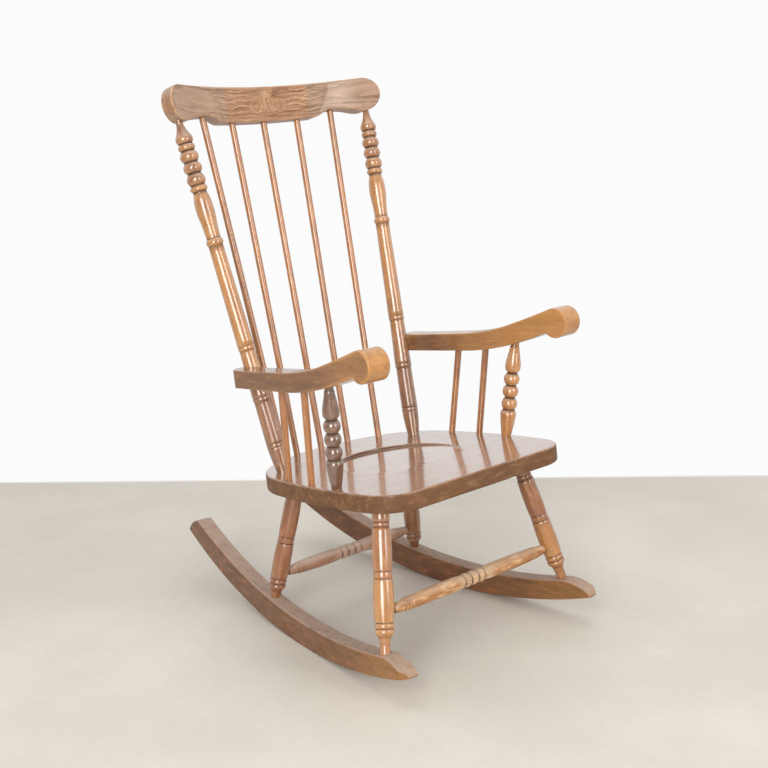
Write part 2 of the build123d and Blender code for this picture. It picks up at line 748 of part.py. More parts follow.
def screw_solid(gap, tail):
    """Countersunk screw, or its hole when a gap is given."""
    return turned(
        screw_mid - screw_run * screw_back,
        screw_mid,
        [
            ("l", -tail, screw_head_radius + gap),
            ("l", 0.4 + gap, screw_head_radius + gap),
            ("l", screw_head_height + gap, screw_radius + gap),
            ("l", screw_back + screw_reach + gap, screw_radius + gap),
        ],
    )


arm_screw_right = screw_solid(0.0, 0.0)
screw_hole = screw_solid(screw_clearance, 8.0)
post_right = post_right - screw_hole
arm_right = arm_right - screw_hole

# ---------------------------------------------------------------- assembly
pieces = {
    "seat": seat,
    "crest_rail": crest,
    "back_post_left": mirrored(post_right),
    "back_post_right": post_right,
    "arm_left": mirrored(arm_right),
    "arm_right": arm_right,
    "arm_post_left": mirrored(arm_post_right),
    "arm_post_right": arm_post_right,
    "arm_spindle_left_rear": mirrored(arm_spindles[0]),
    "arm_spindle_left_front": mirrored(arm_spindles[1]),
    "arm_spindle_right_rear": arm_spindles[0],
    "arm_spindle_right_front": arm_spindles[1],
    "back_spindle_1": mirrored(back_spindles[0]),
    "back_spindle_2": mirrored(back_spindles[1]),
    "back_spindle_3": back_spindles[2],
    "back_spindle_4": back_spindles[1],
    "back_spindle_5": back_spindles[0],
    "leg_front_left": mirrored(front_leg),
    "leg_front_right": front_leg,
    "leg_rear_left": mirrored(rear_leg),
    "leg_rear_right": rear_leg,
    "front_stretcher": front_stretcher,
    "rear_stretcher": rear_stretcher,
    "rocker_left": mirrored(rocker_right),
    "rocker_right": rocker_right,
    "arm_screw_left": mirrored(arm_screw_right),
    "arm_screw_right": arm_screw_right,
}

# put the middle of the footprint on the origin
boxes = [shape.bounding_box() for shape in pieces.values()]
mid_y = (min(b.min.Y for b in boxes) + max(b.max.Y for b in boxes)) / 2
low_z = min(b.min.Z for b in boxes)
for name, shape in pieces.items():
    solid = Pos(0, -mid_y, -low_z) * shape
    count = len(solid.solids())
    if count != 1:
        print("piece", name, "has", count, "solids")
    solid = solid.solids()[0] if count == 1 else solid
    solid.label = name
    export_step(solid, "parts/" + name + ".step")

volume = sum(p.volume for p in pieces.values())
moment = sum(p.volume * p.center(CenterOf.MASS).Y for p in pieces.values())
print("moved by", round(-mid_y, 2), round(-low_z, 3))
print("balance point y", round(moment / volume, 2), "touching point y", rocker_balance_y)
print("overall height", round(max(b.max.Z for b in boxes) - low_z, 1))
print("overall width", round(max(b.max.X for b in boxes) * 2, 1))
print("overall depth", round(max(b.max.Y for b in boxes) - min(b.min.Y for b in boxes), 1))
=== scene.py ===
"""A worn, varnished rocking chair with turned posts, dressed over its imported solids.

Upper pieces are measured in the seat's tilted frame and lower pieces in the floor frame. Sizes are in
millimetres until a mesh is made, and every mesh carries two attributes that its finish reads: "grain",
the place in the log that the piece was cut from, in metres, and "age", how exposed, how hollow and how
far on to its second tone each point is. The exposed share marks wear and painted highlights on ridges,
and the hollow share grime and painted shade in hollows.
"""

import logging
import math
from collections.abc import Callable, Iterator
from dataclasses import dataclass, field
from enum import Enum

import bmesh
import bpy
import numpy as np
from mathutils import Matrix, Vector


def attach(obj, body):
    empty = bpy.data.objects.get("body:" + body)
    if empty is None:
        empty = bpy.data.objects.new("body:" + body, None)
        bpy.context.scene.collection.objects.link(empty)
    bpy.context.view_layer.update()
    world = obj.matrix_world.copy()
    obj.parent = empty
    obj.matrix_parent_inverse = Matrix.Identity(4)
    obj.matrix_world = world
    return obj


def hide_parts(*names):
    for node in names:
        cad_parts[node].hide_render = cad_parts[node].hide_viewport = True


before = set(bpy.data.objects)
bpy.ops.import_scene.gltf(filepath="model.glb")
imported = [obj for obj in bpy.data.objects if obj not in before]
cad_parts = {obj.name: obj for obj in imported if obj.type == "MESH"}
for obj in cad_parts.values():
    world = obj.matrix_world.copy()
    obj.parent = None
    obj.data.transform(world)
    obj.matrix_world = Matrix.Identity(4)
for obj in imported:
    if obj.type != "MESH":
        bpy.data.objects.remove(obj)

LOG = logging.getLogger("rocking_chair")
BODY = "root"
METRES = 0.001
FOOTPRINT_SHIFT = -66.38
SEAT_HALF = 254.0
SEAT_DEPTH = 528.0
TINY = 1e-9
WELD = 2e-6
SLIVER = 1e-7

Stations = tuple[tuple[float, float], ...]
Triple = tuple[float, float, float]
Mark = np.ndarray | float
Bands = Iterator[tuple[np.ndarray, Mark, Mark, Mark, Mark]]
Pair = tuple[np.ndarray, np.ndarray]
Faces = list[tuple[int, ...]]
Place = Callable[[np.ndarray, np.ndarray, np.ndarray], np.ndarray]
Relief = Callable[[np.ndarray, np.ndarray], tuple[np.ndarray, np.ndarray, np.ndarray]]
Socket = bpy.types.NodeSocket
Setting = Socket | float | tuple[float, ...]


# ---------------------------------------------------------------- frames
@dataclass(frozen=True)
class SeatFrame:
    """The seat's own frame: x across, v back along the plank, w square to it."""

    tilt: float = math.radians(6.7)
    height: float = 347.5
    set_back: float = 51.1

    def point(self, x: float, v: float, w: float) -> np.ndarray:
        """Turn a point of the seat frame into the row frame.

        Args:
            x: place across the chair.
            v: place back along the seat.
            w: height square to the seat.

        Returns:
            The point in millimetres, with its last axis x, y, z.
        """
        c, s = math.cos(self.tilt), math.sin(self.tilt)
        turned = np.stack(np.broadcast_arrays(x, v * c + w * s, w * c - v * s), axis=-1).astype(float)
        return turned + np.array([0.0, self.set_back + FOOTPRINT_SHIFT, self.height])


SEAT = SeatFrame()


class Side(Enum):
    """The two sides of the chair, seen from its front."""

    LEFT = -1
    RIGHT = 1

    @property
    def word(self) -> str:
        """The side's name, as the nodes have it."""
        return self.name.lower()


# ---------------------------------------------------------------- curves
def unit(vector: np.ndarray) -> np.ndarray:
    """The same direction with a length of one."""
    return vector / np.linalg.norm(vector)


def arc(centre: tuple[float, float], radius: float, start: float, end: float, steps: int) -> np.ndarray:
    """Points along a circular arc.

    Args:
        centre: middle of the circle.
        radius: its radius.
        start: first angle in degrees.
        end: last angle in degrees.
        steps: number of stretches.

    Returns:
        An array of (steps + 1, 2) points.
    """
    angle = np.radians(np.linspace(start, end, steps + 1))
    return np.stack([centre[0] + radius * np.cos(angle), centre[1] + radius * np.sin(angle)], axis=-1)


def smooth(share: np.ndarray) -> np.ndarray:
    """Ease a share in and out between 0 and 1."""
    return share**2 * (3 - 2 * share)


def tangent_arc(start: np.ndarray, heading: np.ndarray, end: np.ndarray, pitch: float) -> Pair:
    """Arc that leaves start along heading and reaches end.

    Args:
        start: first point.
        heading: direction at the first point.
        end: last point.
        pitch: distance between the points made.

    Returns:
        The points, and the heading at the last one.
    """
    heading = unit(heading)
    normal = np.array([-heading[1], heading[0]])
    chord = end - start
    bend = chord @ chord / (2 * (normal @ chord))
    centre = start + normal * bend
    first = math.atan2(*(start - centre)[::-1])
    turn = math.atan2(*(end - centre)[::-1]) - first
    turning = math.copysign(1.0, bend)
    turn = turn % (2 * math.pi) if turning > 0 else -((-turn) % (2 * math.pi))
    steps = max(2, int(abs(turn * bend) / pitch))
    points = arc(tuple(centre), abs(bend), math.degrees(first), math.degrees(first + turn), steps)
    spoke = points[-1] - centre
    return points, turning * np.array([-spoke[1], spoke[0]]) / abs(bend)


def sweep_curve(
    knots: np.ndarray,
    steps: int,
    start: tuple[float, float] | None = None,
    end: tuple[float, float] | None = None,
) -> np.ndarray:
    """Smooth curve through knots, with tangents worked out from their neighbours.

    Args:
        knots: the points to pass, (n, 2).
        steps: stretches between two knots.
        start: direction at the first knot, or None to leave it free.
        end: direction at the last knot, or None to leave it free.

    Returns:
        The points of the curve.
    """
    knots = np.asarray(knots, float)
    chord = np.maximum(np.linalg.norm(np.diff(knots, axis=0), axis=1), TINY)
    slope = np.diff(knots, axis=0) / chord[:, None]
    tangent = np.empty_like(knots)
    mean = slope[:-1] * chord[1:, None] + slope[1:] * chord[:-1, None]
    tangent[1:-1] = mean / (chord[1:] + chord[:-1])[:, None]
    tangent[0] = slope[0] if start is None else unit(np.asarray(start, float))
    tangent[-1] = slope[-1] if end is None else unit(np.asarray(end, float))
    t = np.linspace(0, 1, steps + 1)[:-1, None]
    pieces = []
    for i, length in enumerate(chord):
        pieces.append(
            (2 * t**3 - 3 * t**2 + 1) * knots[i]
            + (t**3 - 2 * t**2 + t) * length * tangent[i]
            + (3 * t**2 - 2 * t**3) * knots[i + 1]
            + (t**3 - t**2) * length * tangent[i + 1]
        )
    return np.vstack(pieces + [knots[-1:]])


def distance_to_path(points: np.ndarray, path: np.ndarray) -> Pair:
    """Shortest distance from points to a run of straight stretches.

    Args:
        points: (n, 2) places.
        path: (m, 2) corners of the path.

    Returns:
        The distances, and how far along the path each nearest place is, from 0 to 1.
    """
    best = np.full(len(points), np.inf)
    share = np.zeros(len(points))
    runs = np.diff(path, axis=0)
    lengths = np.maximum(np.linalg.norm(runs, axis=1), TINY)
    total = lengths.sum()
    done = 0.0
    for corner, run, length in zip(path[:-1], runs, lengths):
        t = np.clip((points - corner) @ run / length**2, 0, 1)
        gap = np.linalg.norm(points - corner - t[:, None] * run, axis=1)
        nearer = gap < best
        best[nearer] = gap[nearer]
        share[nearer] = (done + t[nearer] * length) / total
        done += length
    return best, share


def resampled(path: np.ndarray, count: int) -> np.ndarray:
    """Space a path's points evenly.

    Args:
        path: (n, 2) points.
        count: number of points wanted.

    Returns:
        The same path with that many points.
    """
    run = np.append(0, np.cumsum(np.linalg.norm(np.diff(path, axis=0), axis=1)))
    share = np.linspace(0, run[-1], count)
    return np.column_stack([np.interp(share, run, path[:, k]) for k in (0, 1)])


def quarter_round(inset: np.ndarray, radius: float) -> np.ndarray:
    """Depth of a rounded arris below its face at a distance from the edge."""
    left = np.clip(radius - inset, 0, radius)
    return radius - np.sqrt(radius**2 - left**2)


def between(along: Mark, table: Stations) -> np.ndarray:
    """Read a table of (station, value) rows at the places along."""
    stations, values = np.array(table, float).T
    return np.interp(along, stations, values)


# ---------------------------------------------------------------- shapes
@dataclass
class Shape:
    """Points and faces of one piece, with its grain and age at every point."""

    points: np.ndarray
    faces: Faces
    grain: np.ndarray
    age: np.ndarray

    def moved(self, shift: np.ndarray) -> "Shape":
        """The same shape somewhere else."""
        return Shape(self.points + shift, self.faces, self.grain, self.age)


def grid_faces(rows: int, columns: int, start: int = 0, closed: bool = False) -> Faces:
    """Quads of a grid of points.

    Args:
        rows: number of rows.
        columns: points in a row.
        start: number of the first point.
        closed: whether the last column joins the first.

    Returns:
        The faces.
    """
    faces = []
    for r in range(rows - 1):
        here, there = start + r * columns, start + (r + 1) * columns
        for c in range(columns if closed else columns - 1):
            after = (c + 1) % columns
            faces.append((here + c, here + after, there + after, there + c))
    return faces


def capped_faces(rows: int, columns: int) -> Faces:
    """Faces of a closed stack of rings with a middle point at each end.

    Args:
        rows: number of rings.
        columns: points in a ring.

    Returns:
        The faces; the two middle points come after the rings.
    """
    first, base = rows * columns, (rows - 1) * columns
    faces = grid_faces(rows, columns, closed=True)
    faces += [(first, (i + 1) % columns, i) for i in range(columns)]
    return faces + [(first + 1, base + i, base + (i + 1) % columns) for i in range(columns)]


class Cut(Enum):
    """Ways that a turner's tool runs from one station to the next."""

    STRAIGHT = "straight"
    ROUND = "round"
    SWEEP = "sweep"


@dataclass(frozen=True)
class Move:
    """One stretch of a turned profile; stations are (distance along, radius)."""

    cut: Cut
    stations: Stations


def straight(along: float, radius: float) -> Move:
    """A straight cut to a station."""
    return Move(Cut.STRAIGHT, ((along, radius),))


def rounded(along: float, radius: float, crown: float, crown_radius: float) -> Move:
    """A round cut over a crown, or through a hollow, to a station."""
    return Move(Cut.ROUND, ((crown, crown_radius), (along, radius)))


def sweep(*stations: tuple[float, float]) -> Move:
    """A long smooth cut through several stations."""
    return Move(Cut.SWEEP, stations)


def trace(start: tuple[float, float], moves: list[Move], pitch: float = 5.0, steps: int = 8) -> np.ndarray:
    """Follow the turner's moves.

    Args:
        start: first station.
        moves: the cuts, in order.
        pitch: longest stretch of a straight cut.
        steps: stretches between two stations of a sweep.

    Returns:
        Dense (distance along, radius) rows.
    """
    rows = [np.array([start], float)]
    for move in moves:
        here = rows[-1][-1]
        stations = np.array(move.stations, float)
        if move.cut is Cut.STRAIGHT:
            count = max(1, math.ceil(np.linalg.norm(stations[0] - here) / pitch))
            path = here + (stations[0] - here) * np.linspace(0, 1, count + 1)[:, None]
        elif move.cut is Cut.ROUND:
            path = round_cut(here, stations[0], stations[1])
        else:
            path = sweep_curve(np.vstack([here, stations]), steps)
        rows.append(path[1:])
    return np.vstack(rows)


def round_cut(here: np.ndarray, crown: np.ndarray, there: np.ndarray, flat: float = 1e-6) -> np.ndarray:
    """Arc through three stations.

    Args:
        here: first station.
        crown: station in between.
        there: last station.
        flat: bend under which the stations count as a straight line.

    Returns:
        The points of the arc, about 1 mm apart, in 6 to 14 stretches.
    """
    a, b = crown - here, there - here
    cross = 2 * (a[0] * b[1] - a[1] * b[0])
    if abs(cross) < flat:
        return np.vstack([here, crown, there])
    offset = np.array([b[1] * (a @ a) - a[1] * (b @ b), a[0] * (b @ b) - b[0] * (a @ a)]) / cross
    centre = here + offset
    radius = float(np.linalg.norm(offset))
    angles = [math.atan2(*(p - centre)[::-1]) for p in (here, crown, there)]
    full = 2 * math.pi
    to_crown, to_end = (angles[1] - angles[0]) % full, (angles[2] - angles[0]) % full
    turn = to_end if to_crown <= to_end else to_end - full
    steps = int(min(14, max(6, abs(turn) * radius)))
    return arc(tuple(centre), radius, math.degrees(angles[0]), math.degrees(angles[0] + turn), steps)


def aged(exposed: Mark, hollow: Mark = 0.0, tone: Mark = 0.0) -> np.ndarray:
    """The age attribute: exposed and hollow shares, and the share of the second tone."""
    return np.stack(np.broadcast_arrays(exposed, hollow, tone), axis=-1).astype(float)


@dataclass
class Turning:
    """A lathe-turned stick that runs from one point to another, in millimetres."""

    start: np.ndarray
    end: np.ndarray
    profile: np.ndarray
    log: Triple
    facets: int = 44
    tone: Stations = ((0.0, 0.0),)
    pitch: float = 0.5
    window: int = 24
    softness: float = 11.0
    proud: float = 1.3
    sunk: float = 1.1

    def relief(self) -> np.ndarray:
        """Compare the outline with a smoothed one.

        Returns:
            How far each station stands over the smoothed outline, in mm.
        """
        along = np.arange(self.profile[0, 0], self.profile[-1, 0], self.pitch)
        radius = np.interp(along, self.profile[:, 0], self.profile[:, 1])
        weights = np.exp(-((np.arange(-self.window, self.window + 1) / self.softness) ** 2))
        padded = np.pad(radius, self.window, mode="edge")
        blurred = np.convolve(padded, weights / weights.sum(), mode="valid")
        return np.interp(self.profile[:, 0], along, radius - blurred)

    def shape(self) -> Shape:
        """Build the stick.

        Returns:
            The stick, closed at both ends.
        """
        axis = unit(self.end - self.start)
        side = unit(np.cross([1.0, 0, 0] if abs(axis[0]) < 0.9 else [0, 1.0, 0], axis))
        other = np.cross(axis, side)
        angle = np.linspace(0, 2 * math.pi, self.facets, endpoint=False)
        spokes = np.cos(angle)[:, None] * side + np.sin(angle)[:, None] * other
        along, radius = self.profile[:, 0], self.profile[:, 1]
        rings = self.start + along[:, None, None] * axis + radius[:, None, None] * spokes
        ends = np.array([self.start + along[0] * axis, self.start + along[-1] * axis])
        count = self.facets
        # Crowns that stand proud take the exposed share, wear with painted highlight; grooves take the
        # hollow share, grime with painted shade.
        relief = np.append(np.repeat(self.relief(), count), [0.0, 0.0])
        tone = np.append(np.repeat(between(along, self.tone), count), [0.0, 0.0])
        places = np.empty((len(relief), 3))
        places[:-2, 0] = np.repeat(along, count)
        places[:-2, 1] = (radius[:, None] * np.cos(angle)).ravel()
        places[:-2, 2] = (radius[:, None] * np.sin(angle)).ravel()
        places[-2:] = [(along[0], 0, 0), (along[-1], 0, 0)]
        return Shape(
            np.vstack([rings.reshape(-1, 3), ends]),
            capped_faces(len(along), count),
            places * METRES + np.array(self.log),
            aged(np.clip(relief / self.proud, 0, 1), np.clip(-relief / self.sunk, 0, 1), tone),
        )


@dataclass
class Board:
    """A sawn board: an outline between two rails, with rounded arrises.

    The rails are matched rows of (u, h) points. Depth runs through the board from its
    front face to its back face. The edge rows are the depths of the rings round its edge.
    """

    lower: np.ndarray
    upper: np.ndarray
    thickness: float
    arris: float
    middle_rows: int
    edge_rows: tuple[float, ...]
    log: Triple
    tone: Stations
    face_tone: float = 1.0
    rim_steps: int = 6
    rim_share: float = 1.04
    rub: float = 0.9
    rub_start: float = 0.6
    rub_width: float = 1.5

    def rubbed(self, inset: Mark) -> np.ndarray:
        """How exposed the wood is at a distance from an arris."""
        return self.rub * np.exp(-np.maximum(inset - self.arris * self.rub_start, 0) / self.rub_width)

    def rows(self) -> np.ndarray:
        """Space the rows closely along both rails and evenly between them.

        Returns:
            Share of the way from the lower to the upper rail of each row, for every rib.
        """
        span = np.maximum(np.linalg.norm(self.upper - self.lower, axis=1), 1e-6)
        rim = np.minimum(self.arris * self.rim_share, span * 0.3)
        steps = 1 - np.cos(np.linspace(0, math.pi / 2, self.rim_steps))
        low = rim[:, None] * steps / span[:, None]
        centre = np.linspace(0, 1, self.middle_rows + 2)[1:-1]
        middle = low[:, -1:] + (1 - 2 * low[:, -1:]) * centre
        return np.hstack([low, middle, 1 - low[:, ::-1]])

    def insets(self, flat: np.ndarray, ribs: int) -> np.ndarray:
        """Measure how far the points of the board's face stand from its outline.

        Args:
            flat: (u, h) points, rib by rib.
            ribs: number of ribs.

        Returns:
            The distances, with an exact 0 along the rim.
        """
        inset, _ = distance_to_path(flat, np.vstack([self.lower, self.upper[::-1], self.lower[:1]]))
        rim = np.zeros((ribs, len(flat) // ribs), bool)
        rim[:, [0, -1]] = rim[[0, -1], :] = True
        inset[rim.ravel()] = 0.0
        return inset

    def shape(self, place: Place, relief: Relief | None = None) -> Shape:
        """Build the board.

        Args:
            place: turns arrays of u, h and depth into points in millimetres.
            relief: gives the carved depth, the exposed and the hollow share at (u, h), or None.

        Returns:
            The closed board.
        """
        share = self.rows()
        rib, row = share.shape
        flat = (self.lower[:, None] + (self.upper - self.lower)[:, None] * share[..., None]).reshape(-1, 2)
        inset = self.insets(flat, rib)
        drop = quarter_round(inset, self.arris)
        carved, dark = np.zeros(len(flat)), np.zeros(len(flat))
        rubbed = rubbed_and_highlit = self.rubbed(inset)
        # On the crest the carving adds painted highlights on its ridges to the rubbed share, and grime with
        # painted shade in its hollows.
        if relief is not None:
            carved, wear_and_highlight, dark = relief(flat, inset)
            rubbed_and_highlit = np.maximum(rubbed_and_highlit, wear_and_highlight)
        turn = between(flat[:, 0], self.tone)
        face_turn = turn * np.where(inset < self.arris, 1.0, self.face_tone)
        rim_depths = (drop, self.thickness - drop)
        points = [place(flat[:, 0], flat[:, 1], drop + carved), place(flat[:, 0], flat[:, 1], rim_depths[1])]
        logged = [np.column_stack([flat, depth]) for depth in rim_depths]
        age = [aged(rubbed_and_highlit, dark, face_turn), aged(rubbed, 0.0, face_turn)]
        faces = [f[::-1] for f in grid_faces(rib, row)] + grid_faces(rib, row, start=len(flat))
        number = np.arange(rib * row).reshape(rib, row)
        loop = np.concatenate([number[:, 0], number[-1, 1:], number[-2::-1, -1], number[0, -2:0:-1]])
        bands = [loop]
        for depth in self.edge_rows:
            depths = np.full(len(loop), depth)
            bands.append((len(bands) - 1) * len(loop) + 2 * len(flat) + np.arange(len(loop)))
            points.append(place(flat[loop, 0], flat[loop, 1], depths))
            logged.append(np.column_stack([flat[loop], depths]))
            age.append(aged(self.rubbed(min(depth, self.thickness - depth)), 0.0, turn[loop]))
        bands.append(len(flat) + loop)
        after = np.roll(np.arange(len(loop)), -1)
        for band, following in zip(bands[:-1], bands[1:]):
            near, far = band.tolist(), following.tolist()
            faces += [(near[i], near[j], far[j], far[i]) for i, j in enumerate(after.tolist())]
        grain = np.vstack(logged) * METRES + np.array(self.log)
        return Shape(np.vstack(points), faces, grain, np.vstack(age))


# ---------------------------------------------------------------- shader groups
class Graph:
    """Adds and wires shader nodes in one node tree."""

    def __init__(self, tree: bpy.types.NodeTree) -> None:
        """Keep the tree."""
        self.tree = tree

    def add(
        self, kind: str, inputs: dict[str | int, Setting] | None = None, **settings: object
    ) -> bpy.types.Node:
        """Add a node.

        Args:
            kind: the node's type.
            inputs: values or sockets for its inputs, by name or number.
            settings: the node's own properties.

        Returns:
            The node.
        """
        node = self.tree.nodes.new(kind)
        for name, value in settings.items():
            setattr(node, name, value)
        for name, value in (inputs or {}).items():
            self.feed(node.inputs[name], value)
        return node

    def feed(self, socket: Socket, value: Setting) -> None:
        """Give a socket a value, or link another socket to it.

        Args:
            socket: the input to feed.
            value: a number, a vector, a colour or another node's output.
        """
        if isinstance(value, bpy.types.NodeSocket):
            self.tree.links.new(value, socket)
        else:
            socket.default_value = value

    def math(self, operation: str, *terms: Setting, clamp: bool = False) -> Socket:
        """Do a sum on numbers or sockets."""
        node = self.add("ShaderNodeMath", dict(enumerate(terms)), operation=operation, use_clamp=clamp)
        return node.outputs[0]

    def add_share(self, value: Setting, share: float, onto: Setting, clamp: bool = False) -> Socket:
        """Add a share of one value onto another."""
        return self.math("MULTIPLY_ADD", value, share, onto, clamp=clamp)

    def less_half(self, value: Socket) -> Socket:
        """A value from 0 to 1, moved to swing about 0."""
        return self.math("SUBTRACT", value, 0.5)

    def without(self, value: Setting, mask: Socket) -> Socket:
        """Take a value away where a mask is."""
        return self.math("MULTIPLY", value, self.math("SUBTRACT", 1.0, mask, clamp=True))

    def vector_math(self, operation: str, *terms: Setting) -> Socket:
        """Do a sum on vectors; a length comes from the Value output."""
        node = self.add("ShaderNodeVectorMath", dict(enumerate(terms)), operation=operation)
        return node.outputs["Value" if operation in ("LENGTH", "DOT_PRODUCT") else "Vector"]

    def noise(self, place: Socket, scale: Triple, detail: float = 3.0, rough: float = 0.5) -> Socket:
        """Noise that may be stretched, from 0 to 1.

        Args:
            place: the vector to read it at.
            scale: features per metre along each axis.
            detail: number of finer layers.
            rough: strength of the finer layers.

        Returns:
            The noise's value.
        """
        stretched = self.vector_math("MULTIPLY", place, scale)
        values = {"Vector": stretched, "Scale": 1.0, "Detail": detail, "Roughness": rough}
        return self.add("ShaderNodeTexNoise", values).outputs[0]

    def figure(
        self, grain: Socket, along: float, across: float, detail: float = 3.0, rough: float = 0.5
    ) -> Socket:
        """Noise with this many features per metre along and across the grain."""
        return self.noise(grain, (along, across, across), detail, rough)

    def step(self, value: Socket, low: float, high: float) -> Socket:
        """Rise softly from 0 to 1 as the value goes from low to high."""
        values = {"Value": value, "From Min": low, "From Max": high}
        return self.add("ShaderNodeMapRange", values, interpolation_type="SMOOTHSTEP", clamp=True).outputs[0]

    def blend(self, share: Socket, first: Setting, second: Setting) -> Socket:
        """Mix two colours.

        Args:
            share: how much of the second one shows.
            first: the colour at 0.
            second: the colour at 1.

        Returns:
            The mixed colour.
        """
        node = self.add("ShaderNodeMix", {0: share, 6: first, 7: second}, data_type="RGBA", blend_type="MIX")
        return node.outputs[2]

    def bump(self, strength: float, distance: float, height: Socket) -> Socket:
        """A normal tilted by a height."""
        values = {"Strength": strength, "Distance": distance, "Height": height}
        return self.add("ShaderNodeBump", values).outputs[0]

    def surface(self, values: dict[str, Setting]) -> None:
        """End a material with a principled shader of these values."""
        shader = self.add("ShaderNodeBsdfPrincipled", values)
        self.add("ShaderNodeOutputMaterial", {"Surface": shader.outputs[0]})


def bare(made: bpy.types.Material | bpy.types.World) -> Graph:
    """Clear the nodes of a new material or world.

    Args:
        made: the material or world.

    Returns:
        Its empty graph.
    """
    made.use_nodes = True
    made.node_tree.nodes.clear()
    return Graph(made.node_tree)


def new_group(
    name: str, takes: dict[str, float | None], gives: tuple[str, ...]
) -> tuple[Graph, dict[str, Socket], dict[str, Socket]]:
    """Start a shader node group that puts out numbers.

    Args:
        name: the group's name.
        takes: default of each input number, or None where the input is a vector.
        gives: names of the outputs.

    Returns:
        The group's graph, its input sockets by name and its output sockets by name.
    """
    tree = bpy.data.node_groups.new(name, "ShaderNodeTree")
    for label, value in takes.items():
        kind = "NodeSocketVector" if value is None else "NodeSocketFloat"
        socket = tree.interface.new_socket(name=label, in_out="INPUT", socket_type=kind)
        if value is not None:
            socket.default_value = value
    for label in gives:
        tree.interface.new_socket(name=label, in_out="OUTPUT", socket_type="NodeSocketFloat")
    graph = Graph(tree)
    source = graph.add("NodeGroupInput")
    return graph, source.outputs, graph.add("NodeGroupOutput").inputs


def build_figure_group() -> bpy.types.NodeTree:
    """Growth rings, streaks, fibres, pores, clouds and mottling of sawn or turned wood.

    Returns:
        The group.
    """
    g, takes, gives = new_group(
        "wood figure",
        {"Grain": None, "Ring Width": 0.004, "Wander": 0.012},
        ("Rings", "Streaks", "Fibres", "Pores", "Clouds", "Mottle"),
    )
    grain, wander = takes["Grain"], takes["Wander"]
    drift = g.less_half(g.figure(grain, 3.0, 22.0, 2.0))
    fine_drift = g.less_half(g.figure(grain, 11.0, 70.0, 2.0))
    from_pith = g.vector_math("LENGTH", g.vector_math("MULTIPLY", grain, (0.0, 1.0, 1.0)))
    from_pith = g.math("MULTIPLY_ADD", drift, wander, from_pith)
    from_pith = g.math("MULTIPLY_ADD", fine_drift, g.math("MULTIPLY", wander, 0.22), from_pith)
    turn = g.math("FRACT", g.math("DIVIDE", from_pith, takes["Ring Width"]))
    late = g.math("MULTIPLY", g.step(turn, 0.25, 0.86), g.math("SUBTRACT", 1.0, g.step(turn, 0.9, 1.0)))
    uneven = g.step(g.figure(grain, 4.0, 60.0, 2.0), 0.25, 0.7)
    g.feed(gives["Rings"], g.math("MULTIPLY", late, uneven))
    g.feed(gives["Streaks"], g.figure(grain, 7.0, 150.0, 3.0, 0.6))
    g.feed(gives["Fibres"], g.figure(grain, 55.0, 1100.0, 3.0, 0.6))
    g.feed(gives["Pores"], g.step(g.figure(grain, 130.0, 2100.0, 2.0, 0.5), 0.60, 0.70))
    g.feed(gives["Clouds"], g.figure(grain, 9.0, 24.0, 3.0, 0.55))
    elsewhere = g.vector_math("ADD", grain, (3.7, 1.9, 0.6))
    g.feed(gives["Mottle"], g.figure(elsewhere, 26.0, 95.0, 5.0, 0.66))
    return g.tree


def build_age_group() -> bpy.types.NodeTree:
    """Rubbed edges with painted highlights on ridges, grime with painted shade in hollows, settled dust,
    dull patches, dents and fine scratches.

    Returns:
        The group.
    """
    g, takes, gives = new_group(
        "surface age",
        {
            "Grain": None,
            "Exposed": 0.0,
            "Hollow": 0.0,
            "Wear": 0.5,
            "Dirt": 0.6,
            "Dust": 0.3,
            "Scratches": 0.4,
        },
        ("Worn", "Soil And Shade", "Dusted", "Scratched", "Dull", "Dents"),
    )
    grain = takes["Grain"]
    coarse = g.figure(grain, 38.0, 90.0, 4.0, 0.6)
    fine = g.figure(grain, 260.0, 520.0, 3.0, 0.6)
    ragged = g.add_share(fine, 0.35, g.math("MULTIPLY", coarse, 0.75))
    # The exposed share wears arrises, and puts painted highlights on carved ridges and bead crowns.
    rub = g.add_share(takes["Exposed"], 0.62, g.less_half(ragged))
    rub = g.math("ADD", rub, g.add_share(takes["Wear"], 0.5, -0.5))
    g.feed(gives["Worn"], g.step(rub, 0.16, 0.46))
    # Grime and painted shade in hollows: turned grooves, the feet of carved strokes and the step into the
    # seat's dish.
    soil = g.math("MULTIPLY", takes["Hollow"], g.add_share(coarse, 0.9, 0.65))
    g.feed(gives["Soil And Shade"], g.math("MULTIPLY", soil, takes["Dirt"], clamp=True))
    upward = g.add("ShaderNodeSeparateXYZ", {0: g.add("ShaderNodeNewGeometry").outputs["Normal"]}).outputs[2]
    settled = g.math("MULTIPLY", g.step(upward, 0.15, 0.95), g.step(ragged, 0.2, 0.6))
    g.feed(gives["Dusted"], g.math("MULTIPLY", settled, takes["Dust"], clamp=True))
    cells = {"Vector": g.vector_math("MULTIPLY", grain, (70.0, 420.0, 420.0)), "Scale": 1.0}
    lines = g.add("ShaderNodeTexVoronoi", cells, feature="DISTANCE_TO_EDGE").outputs["Distance"]
    lines = g.math("SUBTRACT", 1.0, g.step(lines, 0.004, 0.03))
    patchy = g.step(g.figure(grain, 30.0, 40.0), 0.55, 0.68)
    scratched = g.math("MULTIPLY", g.math("MULTIPLY", lines, patchy), takes["Scratches"], clamp=True)
    g.feed(gives["Scratched"], scratched)
    g.feed(gives["Dull"], g.figure(grain, 20.0, 55.0, 4.0, 0.6))
    g.feed(gives["Dents"], g.figure(grain, 45.0, 75.0, 2.0, 0.4))
    return g.tree


# ---------------------------------------------------------------- finishes
Colour = tuple[int, int, int]


def paint(colour: Colour) -> tuple[float, float, float, float]:
    """A colour written in screen numbers from 0 to 255, as the shader's linear one."""
    shares = [value / 255 for value in colour]
    return (*(s / 12.92 if s <= 0.04045 else ((s + 0.055) / 1.055) ** 2.4 for s in shares), 1)


